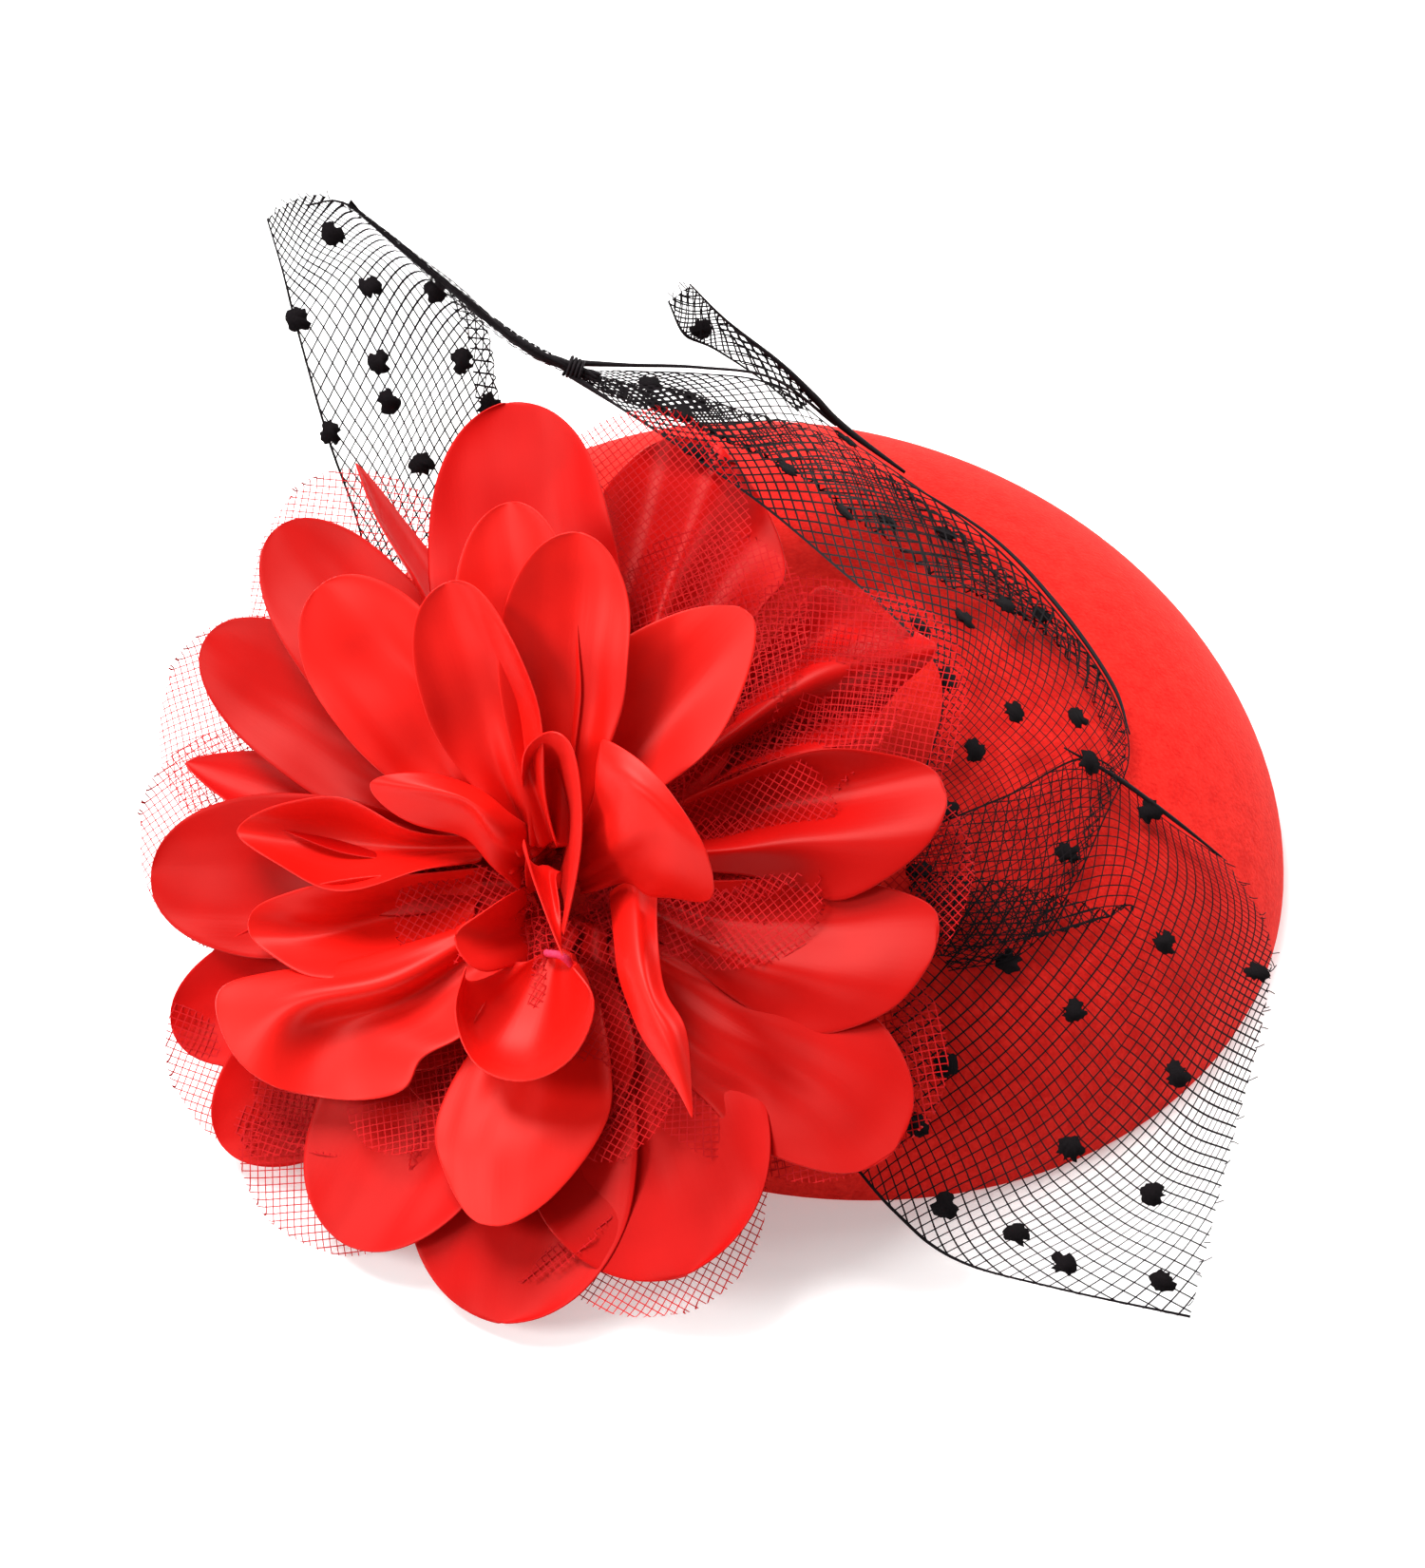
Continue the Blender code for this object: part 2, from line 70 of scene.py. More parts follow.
# %% [markdown]
# ## Small tools for colours and shader nodes
#
# A colour picked from a swatch is an sRGB hex value, and shaders want linear light, so one function
# turns the one into the other. One more function adds a shader node with its settings and its links.
# Most finishes here are a mottle between two tones and a fine relief, both driven by noise, so each
# of those has a function too. A material is then a short list of such calls.

# %% Colour and node helpers
def linear(code):
    """An sRGB hex code such as "FF8800" as a linear RGBA colour."""
    shares = [int(code[place:place + 2], 16) / 255 for place in (0, 2, 4)]
    return [s / 12.92 if s <= 0.04045 else ((s + 0.055) / 1.055) ** 2.4 for s in shares] + [1.0]


def node(tree, kind, inputs=(), **settings):
    """Add a shader node. An input is set to a value, or linked if it is given an output socket."""
    made = tree.nodes.new("ShaderNode" + kind)
    for name, value in settings.items():
        setattr(made, name, value)
    for name, value in dict(inputs).items():
        if isinstance(value, bpy.types.NodeSocket):
            tree.links.new(value, made.inputs[name])
        else:
            made.inputs[name].default_value = value
    return made


def new_material(name, **shader_inputs):
    """A material with one Principled shader, its node tree and the shader."""
    made = bpy.data.materials.new(name)
    made.use_nodes = True
    shader = made.node_tree.nodes["Principled BSDF"]
    for label, value in shader_inputs.items():
        shader.inputs[label.replace("_", " ")].default_value = value
    return made, made.node_tree, shader


MIX_A, MIX_B, MIX_RESULT = 6, 7, 2      # the colour sockets of a Mix node


def two_tone(tree, shader, share, shade, colour):
    """Let a noise run the base colour from its shade to its full colour."""
    mixed = node(tree, "Mix", {0: share, MIX_A: linear(shade), MIX_B: linear(colour)},
                 data_type="RGBA")
    tree.links.new(mixed.outputs[MIX_RESULT], shader.inputs["Base Color"])


def raised(tree, shader, height, strength, depth_mm):
    """Let a noise lift the surface by up to a depth in millimetres."""
    lift = node(tree, "Bump", {"Height": height, "Strength": strength, "Distance": depth_mm * MM})
    tree.links.new(lift.outputs["Normal"], shader.inputs["Normal"])


print("swatch 808080 in linear light:", round(linear("808080")[0], 3))

# %% [markdown]
# ## Pressed wool felt
#
# Felt is wool fibre matted under steam and pressed over a block. It has no weave: the eye sees a
# matt, faintly mottled colour with a soft halo of loose fibres where the surface turns away. So the
# base is rough, a coarse and a fine noise vary the colour, the fine one also lifts the surface, and
# sheen makes the halo.

# %% Felt
FELT_FIBRE_MM = 0.6
FELT_MOTTLE_MM = 2.6
FELT_RELIEF_MM = 0.25


def pressed_felt(name, colour, shade):
    """Matt wool fibre: two tones, a fine relief and a halo."""
    made, tree, shader = new_material(name, Roughness=0.95, Sheen_Weight=0.18, Sheen_Roughness=0.5)
    shader.inputs["Specular IOR Level"].default_value = 0.1
    shader.inputs["Sheen Tint"].default_value = linear("FF8A80")
    place = node(tree, "TexCoord").outputs["Object"]
    fibre = node(tree, "TexNoise", {"Vector": place, "Scale": 1 / (FELT_FIBRE_MM * MM), "Detail": 4})
    mottle = node(tree, "TexNoise", {"Vector": place, "Scale": 1 / (FELT_MOTTLE_MM * MM), "Detail": 3})
    both = node(tree, "Math", {0: fibre.outputs[0], 1: mottle.outputs[0]}, operation="ADD")
    level = node(tree, "MapRange", {0: both.outputs[0], 1: 0.75, 2: 1.25})
    two_tone(tree, shader, level.outputs[0], shade, colour)
    raised(tree, shader, fibre.outputs[0], 0.6, FELT_RELIEF_MM)
    return made


cap_felt = pressed_felt("pressed_wool_felt_red", "DC231B", "C8140F")
lining_felt = pressed_felt("pressed_felt_deep_red", "B3161A", "8E0D12")
print("felt mottle every", FELT_MOTTLE_MM, "mm")

# %% [markdown]
# ## Polyester satin
#
# Satin floats most of its warp threads over the surface, so it shines in long soft streaks across
# the threads and looks deep and saturated elsewhere. The threads are far too fine to see, but a
# ribbed relief along the petal's own length, drawn coarser than life, gives the silky grain, and
# the shine is anisotropic, so it spreads across the threads.
#
# One dyed satin looks different by where it lies. The petals under the flower are lit only by light
# that has already been through red cloth, and those at its heart by light from every petal round
# them. So the same satin comes in three close shades: the plain one, a darker one that is painted
# shade for the petals underneath, and a brighter one that is painted light for those at the heart.

# %% Satin
SATIN_RIB_MM = 0.45
SATIN_FADES = 0.12              # per mm along a rib, so one runs about 8 mm
SATIN_CLOUDS = 0.09             # per mm, so a patch of tone is about 11 mm
SATIN_RELIEF_MM = 0.1


def singed_satin(name, colour, shade, gloss):
    """Satin whose threads run along the petal."""
    made, tree, shader = new_material(name, Roughness=0.44, Anisotropic=0.5, Sheen_Weight=0.06,
                                      Sheen_Roughness=0.35)
    shader.inputs["Specular IOR Level"].default_value = gloss
    shader.inputs["Specular Tint"].default_value = linear("FFB0A8")
    shader.inputs["Sheen Tint"].default_value = linear("FF5A50")
    flat = node(tree, "UVMap", uv_map="cloth_mm").outputs["UV"]
    finest = (SATIN_FADES, 1 / SATIN_RIB_MM, 1)
    warp = node(tree, "Mapping", {"Vector": flat, "Scale": finest})
    grain = node(tree, "TexNoise", {"Vector": warp.outputs[0], "Scale": 1.0, "Detail": 3})
    cloud = node(tree, "TexNoise", {"Vector": flat, "Scale": SATIN_CLOUDS, "Detail": 2})
    two_tone(tree, shader, cloud.outputs[0], shade, colour)
    raised(tree, shader, grain.outputs[0], 0.12, SATIN_RELIEF_MM)
    across = node(tree, "Tangent", direction_type="UV_MAP", uv_map="cloth_mm")
    tree.links.new(across.outputs[0], shader.inputs["Tangent"])
    return made


petal_satin = singed_satin("polyester_satin_red", "C40A08", "A80605", 0.2)
# A darker copy of the same satin, painted shade for the petals that lie under the others.
painted_shade_satin = singed_satin("polyester_satin_red_painted_shade", "B60A07", "9E0604", 0.2)
# A brighter copy of the same satin, painted light for the petals at the heart; it is also glossier.
painted_light_satin = singed_satin("polyester_satin_red_painted_light", "DC170E", "C20B08", 0.34)
print("satin ribs every", SATIN_RIB_MM, "mm")

# %% [markdown]
# ## Tulle and dotted net
#
# Both are knotted nets: two sets of threads cross on the diagonal and are tied where they meet,
# which leaves small open diamonds. The pattern is drawn from the cloth's own flat coordinates in
# millimetres, so it gathers and spreads with the cloth, and everything between the threads is made
# transparent. It could be modelled thread by thread, but that is a million small tubes for the same
# look.
#
# Where net is squeezed its threads keep their width, so each point also knows how many times closer
# than flat its threads lie, and the drawn threads widen by that. Veil net is coarse and black, with
# a firmer thread along its selvedges, and petal tulle is fine and red. A length that was cut at a
# slant shows its diamonds turned, and that slant is called its bias.

# %% Net
VEIL_CELL_MM = 1.45
VEIL_THREAD_MM = 0.21
SELVEDGE_MM = 0.4
TULLE_CELL_MM = 0.95
TULLE_THREAD_MM = 0.14


def open_net(name, colour, cell, thread, selvedges=(), bias=0):
    """Net with a cell size and a thread width, and firm threads at the given distances across.

    The bias is the angle in degrees between the length's middle line and the net's own.
    """
    made, tree, shader = new_material(name, Roughness=0.7)
    shader.inputs["Base Color"].default_value = linear(colour)
    shader.inputs["Specular IOR Level"].default_value = 0.1
    flat = node(tree, "UVMap", uv_map="cloth_mm").outputs["UV"]
    straight = node(tree, "SeparateXYZ", {0: flat})
    turned = node(tree, "Mapping", {"Vector": flat, "Rotation": (0, 0, math.radians(bias))})
    cells = node(tree, "SeparateXYZ", {0: turned.outputs[0]})
    spread = cell * math.sqrt(2)
    near = None
    for way in ("ADD", "SUBTRACT"):
        run = node(tree, "Math", {0: cells.outputs[0], 1: cells.outputs[1]}, operation=way)
        count = node(tree, "Math", {0: run.outputs[0], 1: 1 / spread}, operation="MULTIPLY")
        share = node(tree, "Math", {0: count.outputs[0]}, operation="FRACT")
        off = node(tree, "Math", {0: share.outputs[0], 1: 0.5}, operation="SUBTRACT")
        gap = node(tree, "Math", {0: off.outputs[0]}, operation="ABSOLUTE").outputs[0]
        if near is not None:
            gap = node(tree, "Math", {0: near, 1: gap}, operation="MINIMUM").outputs[0]
        near = gap
    close = node(tree, "Attribute", attribute_name="closeness").outputs["Fac"]
    reach = node(tree, "Math", {0: close, 1: thread / cell / 2}, operation="MULTIPLY")
    solid = node(tree, "Math", {0: near, 1: reach.outputs[0]}, operation="LESS_THAN").outputs[0]
    for middle in selvedges:
        wide = node(tree, "Math", {0: close, 1: SELVEDGE_MM / 2}, operation="MULTIPLY")
        off = node(tree, "Math", {0: straight.outputs[1], 1: middle, 2: wide.outputs[0]},
                   operation="COMPARE")
        solid = node(tree, "Math", {0: solid, 1: off.outputs[0]}, operation="MAXIMUM").outputs[0]
    tree.links.new(solid, shader.inputs["Alpha"])
    return made


petal_tulle = open_net("nylon_tulle_red", "B41216", TULLE_CELL_MM, TULLE_THREAD_MM)
print("net cells of", VEIL_CELL_MM, "mm in the veil and", TULLE_CELL_MM, "mm in the tulle")

# %% [markdown]
# ## Thread, ribbon, buckram and plated steel
#
# The small parts need plain finishes: nickel-plated sheet steel with faint rolling lines for the
# clips, grosgrain ribbon with its cross ribs for the band that covers the rim wire, stiff open-weave
# buckram for the plate, and flocked dots that are matt black with a rough, fibrous face.

# %% Small finishes
RIBBON_RIB_MM = 0.9
BUCKRAM_THREAD_MM = 0.8
ROLLING_LINE_MM = 0.5
TWIST_MM = 0.3                  # one twist of sewing thread, and the pile of the flock
RELIEF_MM = 0.1


def ribbed(name, colour, shade, pitch_mm, roughness, metallic=0.0, strength=0.5, stretch=(1, 1, 1)):
    """A finish with fine parallel ridges or rolling lines along one of the object's directions."""
    made, tree, shader = new_material(name, Roughness=roughness, Metallic=metallic)
    shader.inputs["Specular IOR Level"].default_value = 0.5 if metallic else 0.12
    place = node(tree, "TexCoord").outputs["Object"]
    scaled = node(tree, "Mapping", {"Vector": place, "Scale": [s / (pitch_mm * MM) for s in stretch]})
    lines = node(tree, "TexNoise", {"Vector": scaled.outputs[0], "Scale": 1.0, "Detail": 2})
    two_tone(tree, shader, lines.outputs[0], shade, colour)
    raised(tree, shader, lines.outputs[0], strength, RELIEF_MM)
    return made


plated_steel = ribbed("nickel_plated_steel", "D8D8DA", "B4B4B8", ROLLING_LINE_MM, 0.28, 1.0,
                      strength=0.15, stretch=(0.05, 1, 1))
grosgrain = ribbed("grosgrain_ribbon_red", "C0181C", "8A0C10", RIBBON_RIB_MM, 0.7, strength=0.7,
                   stretch=(1, 1, 0.05))
buckram = ribbed("cotton_buckram", "E2D8BE", "C2B592", BUCKRAM_THREAD_MM, 0.9)
flock = ribbed("black_flock", "050304", "120C0F", TWIST_MM, 0.95, strength=0.8)
black_thread = ribbed("black_sewing_thread", "0C080B", "1C1518", TWIST_MM, 0.6)
pink_thread = ribbed("pink_sewing_thread", "F04A70", "C8284C", TWIST_MM, 0.6)
print("ribbon ribs every", RIBBON_RIB_MM, "mm")

# %% [markdown]
# ## Making pieces
#
# Every new piece goes the same way: a bmesh is shaped in place, and one function turns it into an
# object that rides on the cap's body and hides the CAD node it stands for. Solids get their faces
# turned outward. Open cloth has no outside, and is left as it is.

# %% Piece helper
def piece(name, bm, finish, stands_for=(), solid=True, body=BODY):
    """Turn a finished bmesh into an object of the scene, on its body."""
    if solid:
        bmesh.ops.recalc_face_normals(bm, faces=bm.faces)
    for vert in bm.verts:
        vert.co.z = max(vert.co.z, 0)     # nothing sinks into the table
    mesh = bpy.data.meshes.new(name)
    bm.to_mesh(mesh)
    bm.free()
    mesh.shade_smooth()
    mesh.materials.append(finish)
    made = bpy.data.objects.new(name, mesh)
    bpy.context.scene.collection.objects.link(made)
    if body:
        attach(made, body)
    if stands_for:
        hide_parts(*stands_for)
    return made


# %% [markdown]
# ## The cap
#
# The cap is one felt shell pressed over an oval block. Its section is a superellipse: flatter than
# a circle on top and tighter at the shoulder. The shell is spun from that section as a round one
# and stretched to the oval, with a rounded edge at the rim where the felt is cut and brushed.

# %% Cap
CAP_HALF_WIDTH, CAP_HALF_LENGTH, CAP_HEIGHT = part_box("crown_shell")[1]
CAP_SHOULDER = 2.87             # the superellipse's power along the radius
CAP_CROWNING = 1.85             # and along the height
FELT = 2.2 * MM
EDGE_ROUNDING = 0.7 * MM
OUTER_STEPS, INNER_STEPS, EDGE_STEPS = 44, 24, 4
CAP_AROUND = 144


def dome_height(share):
    """Height of the dome where a point is at a share of the way from its middle to its rim."""
    if share >= 1:
        return 0.0
    return CAP_HEIGHT * (1 - share ** CAP_SHOULDER) ** (1 / CAP_CROWNING)


def dome_section(half_width, height, steps):
    """(radius, height) points of the dome's section from its middle to its rim."""
    points = []
    for step in range(steps):
        angle = step / steps * math.pi / 2
        radius = half_width * math.sin(angle) ** (2 / CAP_SHOULDER)
        points.append((radius, height * math.cos(angle) ** (2 / CAP_CROWNING)))
    return points


def cap_shell():
    """The felt shell, spun from its section and stretched to the oval."""
    outer = dome_section(CAP_HALF_WIDTH, CAP_HEIGHT, OUTER_STEPS)
    inner = dome_section(CAP_HALF_WIDTH - FELT, CAP_HEIGHT - FELT, INNER_STEPS)
    rim = []
    for step in range(EDGE_STEPS + 1):
        angle = step / EDGE_STEPS * math.pi / 2
        rim.append((CAP_HALF_WIDTH - EDGE_ROUNDING * (1 - math.cos(angle)),
                    EDGE_ROUNDING * (1 - math.sin(angle))))
    rim.append((CAP_HALF_WIDTH - FELT, 0))
    bm = bmesh.new()
    corners = [bm.verts.new((x, 0, z)) for x, z in outer + rim + inner[::-1]]
    wire = [bm.edges.new(pair) for pair in zip(corners, corners[1:])]
    bmesh.ops.spin(bm, geom=corners + wire, axis=(0, 0, 1), cent=(0, 0, 0), angle=math.tau,
                   steps=CAP_AROUND, use_merge=True)
    bmesh.ops.remove_doubles(bm, verts=bm.verts, dist=0.01 * MM)
    bmesh.ops.scale(bm, verts=bm.verts, vec=(1, CAP_HALF_LENGTH / CAP_HALF_WIDTH, 1))
    return piece("felt_cap", bm, cap_felt, ["crown_shell"])


cap_shell()
print("cap", round(2 * CAP_HALF_WIDTH / MM), "x", round(2 * CAP_HALF_LENGTH / MM), "mm")

# %% [markdown]
# ## Parts that keep their CAD shape
#
# The ribbon band, lining, plate, wire and both clips are right as they are in the CAD model, so
# each only gets its finish. A CAD node's mesh is never changed.

# %% Finishes on CAD nodes
CAD_FINISHES = {
    "rim_wire": plated_steel, "rim_tape": grosgrain, "lining_felt": lining_felt,
    "insert_plate": buckram, "flower_disc": cap_felt, "veil_gather_knot": black_thread,
}
for side in ("front", "back"):
    CAD_FINISHES[f"clip_{side}_patch"] = lining_felt
    for part in ("top_jaw", "lower_jaw", "pin"):
        CAD_FINISHES[f"clip_{side}_{part}"] = plated_steel
for name, finish in CAD_FINISHES.items():
    kept = frame["nodes"][name]
    kept.data.materials.clear()
    kept.data.materials.append(finish)
print(len(CAD_FINISHES), "CAD nodes kept")

# %% [markdown]
# ## Where the flower grows from
#
# The flower sits square to the dome at its left shoulder. Its own frame has Z along its axis, and X
# level with the front view, so a petal's heading reads like the hand of a clock: 0 degrees points
# to the right, 90 degrees up.

# %% Flower frame
FRONT_VIEW_AZIMUTH = math.radians(-36.5)
FLOWER_TOUCH = (-44 * MM, -26 * MM)
FLOWER_CENTRE = (-46.6 * MM, -10.4 * MM)


def share_of_cap(x, y):
    """How far a place is from the cap's middle, where 1 is its rim."""
    return math.hypot(x / CAP_HALF_WIDTH, y / CAP_HALF_LENGTH)


def flower_frame():
    """The matrix that takes flower coordinates in millimetres to the cap's frame in metres."""
    x, y = FLOWER_TOUCH
    step = 0.1 * MM
    slope_x = dome_height(share_of_cap(x + step, y)) - dome_height(share_of_cap(x - step, y))
    slope_y = dome_height(share_of_cap(x, y + step)) - dome_height(share_of_cap(x, y - step))
    axis = Vector((-slope_x, -slope_y, 2 * step)).normalized()
    cx, cy = FLOWER_CENTRE
    drop = (axis.x * (cx - x) + axis.y * (cy - y)) / axis.z
    seat = Vector((cx, cy, dome_height(share_of_cap(x, y)) - drop))
    right = Vector((math.cos(FRONT_VIEW_AZIMUTH), math.sin(FRONT_VIEW_AZIMUTH), 0))
    right = (right - axis * right.dot(axis)).normalized()
    turn = Matrix((right, axis.cross(right), axis)).transposed().to_4x4()
    return Matrix.Translation(seat) @ turn @ Matrix.Scale(MM, 4)


FLOWER = flower_frame()
HEART = Vector((2.0, -3.0))             # where the petals' roots meet, in flower millimetres
print("flower seat in mm:", [round(value / MM, 1) for value in FLOWER.translation])

# %% [markdown]
# ## A surface through rows of points
#
# Folded petals and gathered net are both easiest to shape as a few rows of points across the
# cloth, in millimetres. A smooth surface is drawn through the rows, and is read at shares along and
# across. It runs through every point it is given, which makes it easy to correct by hand.
#
# Net that lies on the cap is also kept a lift above the felt. It follows the dome down to the
# shoulder, and past that it flares straight to its hem, as stiff net does.

# %% Smooth curve
def smooth_through(points, count):
    """A number of evenly spaced points on the smooth curve through the given ones."""
    given = np.array(points, float)
    ends = np.concatenate([[2 * given[0] - given[1]], given, [2 * given[-1] - given[-2]]])
    made = []
    for share in np.linspace(0, len(given) - 1, count):
        index = min(int(share), len(given) - 2)
        t = share - index
        before, start, end, after = ends[index:index + 4]
        made.append(0.5 * (2 * start + (end - before) * t
                           + (2 * before - 5 * start + 4 * end - after) * t ** 2
                           + (3 * start - before - 3 * end + after) * t ** 3))
    return np.array(made)


# %% Height of net on the cap
NET_FLARE_START = 0.88
NET_FLARE_END = 1.40
NET_HEM_HEIGHT = 1.6 * MM


def net_height(x, y):
    """The height of flat-lying net over a place, in metres."""
    share = share_of_cap(x, y)
    if share <= NET_FLARE_START:
        return dome_height(share)
    fall = min((share - NET_FLARE_START) / (NET_FLARE_END - NET_FLARE_START), 1)
    return dome_height(NET_FLARE_START) * (1 - fall) + NET_HEM_HEIGHT * fall


def on_hat(x, y, lift):
    """A point a lift above the net's height, all in millimetres."""
    return (x, y, net_height(x * MM, y * MM) / MM + lift)


for place in (0, -95):
    print("net lies", round(on_hat(0, place, 0)[2], 1), "mm high at y =", place, "mm")

# %% Surface through rows
NET_FINE = 121


class RowSurface:
    """A smooth surface through rows of points, read at shares along and across."""

    def __init__(self, rows, lift=None, fine=NET_FINE):
        self.fine = fine
        rungs = [smooth_through(row, fine) for row in rows]
        self.grid = np.array([smooth_through(column, fine) for column in zip(*rungs)])
        self.grid = self.grid.transpose(1, 0, 2)
        if lift is not None:
            for spot in self.grid.reshape(-1, 3):
                spot[2] = max(spot[2], net_height(spot[0] * MM, spot[1] * MM) / MM + lift)
        along = np.gradient(self.grid, axis=0)
        across = np.gradient(self.grid, axis=1)
        normal = np.cross(along, across)
        size = np.linalg.norm(normal, axis=2, keepdims=True)
        self.normal = normal / np.maximum(size, 1e-9)
        if self.normal[..., 2].mean() < 0:
            self.normal = -self.normal
        self.length = float(np.linalg.norm(np.diff(self.grid, axis=0), axis=2).sum(axis=0).mean())
        self.width = float(np.linalg.norm(np.diff(self.grid, axis=1), axis=2).sum(axis=1).mean())

    def read(self, field, along, across):
        """A value of the grid or of the normals, between its four nearest entries."""
        top = self.fine - 1
        u = min(max(along, 0), 1) * top
        v = min(max(across, 0), 1) * top
        i = min(int(u), top - 1)
        j = min(int(v), top - 1)
        p = u - i
        q = v - j
        return (field[i, j] * (1 - p) * (1 - q) + field[i + 1, j] * p * (1 - q)
                + field[i, j + 1] * (1 - p) * q + field[i + 1, j + 1] * p * q)

    def point(self, along, across, lift=0.0):
        """The place at two shares, moved off the surface by a lift."""
        spot = self.read(self.grid, along, across) + self.read(self.normal, along, across) * lift
        return Vector(spot.tolist())


# %% [markdown]
# ## One petal
#
# A petal is cut flat, singed, and sewn in at its pleated root, and after that it goes where its
# folds push it. It could be draped by simulation, but every petal of this flower has its own
# pose, so each one is a flat grid that is bent by a few numbers a flower maker would use. Its
# outline narrows to the root and closes in a round or a sharp tip.

# %% Petal outline
def smooth_step(share):
    """0 below 0, 1 above 1, and an easy rise between."""
    share = min(max(share, 0.0), 1.0)
    return share * share * (3 - 2 * share)


def petal_half_width(share, width, point):
    """Half the flat width at a share of the petal's length. A point of 1 makes a sharp tip."""
    shoulder = 0.6 - 0.2 * point
    body = 0.45 + 0.55 * smooth_step(share / shoulder)
    if share > shoulder:
        past = (share - shoulder) / (1 - shoulder)
        body = (1 - past ** (2.3 - 0.7 * point)) ** (0.5 + 0.45 * point)
    return width / 2 * max(body, 0.02)


for share in (0.0, 0.5, 0.9):
    print("a 20 mm petal is", round(2 * petal_half_width(share, 20, 0), 1), "mm wide at", share)

# %% [markdown]
# ## Bending it
#
# The middle line comes first. It points at a heading, reaches a distance from the heart at its own
# level, and rises by one angle at the root and another at the tip. The petal is then shaped across
# that line: its sides cup up round an arc that is tightest at the root, it leans by a tilt, pleats
# run out from its root, and its edge ruffles in waves.

# %% Bent petal
ROOT_MM = 4.0                   # how far from the heart a petal starts
LINE_STEPS = 40
CUP_TURN = 2.2                  # radians from middle to edge, for a cup of 1
PLEATS_END = 0.75               # the share of the length where the root's pleats have died out
PLEATS_ACROSS = 2.5             # waves from the middle to both edges


def direction(heading, rise):
    """The unit vector at a heading round the flower and a rise above its base."""
    flat = math.cos(rise)
    return Vector((flat * math.cos(heading), flat * math.sin(heading), math.sin(rise)))


class Petal:
    """Bends flat petal points into place. Angles are in degrees and lengths in millimetres."""

    def __init__(self, heading, reach, width, level, rise, cup=0.3, tilt=0, ruffle=0.0, waves=2.0,
                 pleat=0.5, point=0.0):
        self.heading, self.tilt = math.radians(heading), math.radians(tilt)
        self.width, self.cup, self.ruffle, self.waves = width, cup, ruffle, waves
        self.pleat, self.point = pleat, point
        low, high = rise
        shares = [step / LINE_STEPS for step in range(LINE_STEPS + 1)]
        rises = [math.radians(low + (high - low) * share) for share in shares]
        level_share = sum(math.cos(value) for value in rises) / len(rises)
        self.length = (reach - ROOT_MM) / level_share
        here = Vector((*HEART, level)) + ROOT_MM * direction(self.heading, 0)
        self.line = []
        for value in rises:
            self.line.append((here.copy(), value))
            here += self.length / LINE_STEPS * direction(self.heading, value)

    def place(self, share, side):
        """The point at a share of the length and at a side from -1 to 1."""
        spot = share * LINE_STEPS
        index = min(int(spot), LINE_STEPS - 1)
        part = spot - index
        before, after = self.line[index], self.line[index + 1]
        forward = direction(self.heading, before[1] + (after[1] - before[1]) * part)
        level = Vector((-math.sin(self.heading), math.cos(self.heading), 0))
        above = forward.cross(level)
        across = level * math.cos(self.tilt) + above * math.sin(self.tilt)
        up = above * math.cos(self.tilt) - level * math.sin(self.tilt)
        bow = self.cup * CUP_TURN * (0.45 + 0.55 * (1 - share))
        radius = petal_half_width(share, self.width, self.point) / bow
        lift = radius * (1 - math.cos(side * bow))
        pleat = self.pleat * (1 - smooth_step(share / PLEATS_END))
        lift += pleat * math.cos(side * math.pi * PLEATS_ACROSS)
        edge = side * side * smooth_step(share / 0.5)
        lift += self.ruffle * edge * math.sin(math.tau * (self.waves * share + 0.25 * side))
        return before[0].lerp(after[0], part) + across * radius * math.sin(side * bow) + up * lift

    def flat_point(self, share, side):
        """The same point on the flat cloth, in millimetres."""
        return (share * self.length, side * petal_half_width(share, self.width, self.point))

    def flat_area(self):
        """The flat petal's area in square millimetres."""
        steps = 50
        widths = [2 * petal_half_width((step + 0.5) / steps, self.width, self.point)
                  for step in range(steps)]
        return sum(widths) / steps * self.length


print("a petal that reaches 57 mm is", round(Petal(0, 57, 30, 5, (3, 3)).length, 1), "mm long")

# %% [markdown]
# ## Folded petals
#
# Most petals of a real flower are pinched into gutters and folds by their neighbours, and no arc
# describes that. Such a petal is a surface through rows of points across it, from root to tip, in
# the flower's frame. Its outline is cut from that surface: straight sides and a rounded tip, where
# tip is the share of the length that is rounded and square says how blunt it is.

# %% Folded petal
FOLDED_PETAL_FINE = 33


class FoldedPetal:
    """A petal that a flower maker has folded. It answers the same calls as Petal."""

    def __init__(self, rows, tip=0.4, square=2.2):
        self.surface = RowSurface(rows, fine=FOLDED_PETAL_FINE)
        self.tip, self.square = tip, square
        self.length, self.width = self.surface.length, self.surface.width

    def half(self, share):
        """How much of its half width the petal has at a share of its length."""
        past = max(0.0, (share - 1 + self.tip) / self.tip) if self.tip else 0.0
        return max(1 - past ** self.square, 0.0) ** (1 / self.square)

    def place(self, share, side):
        return self.surface.point(share, 0.5 + 0.5 * side * self.half(share))

    def flat_point(self, share, side):
        return (share * self.length, side * self.width / 2 * self.half(share))

    def flat_area(self):
        return self.length * self.width * (1 - 0.2 * self.tip)


# %% [markdown]
# ## Rumples and creases
#
# Cloth that has been handled is never an even curve. Slow waves run through the open part of a
# petal, and sharper creases run out along it from the root, where it was gathered on a thread. Both
# push each point along its normal by noise that is read on the flat cloth, so they follow the petal
# and differ from one petal to the next. They die out at the tip, which the singed edge holds.

# %% Rumples
RUMPLE_MM, RUMPLE_LENGTH_MM = 1.25, 12
CREASE_MM, CREASE_WIDTH_MM, CREASE_LENGTH_MM = 0.85, 3.2, 26


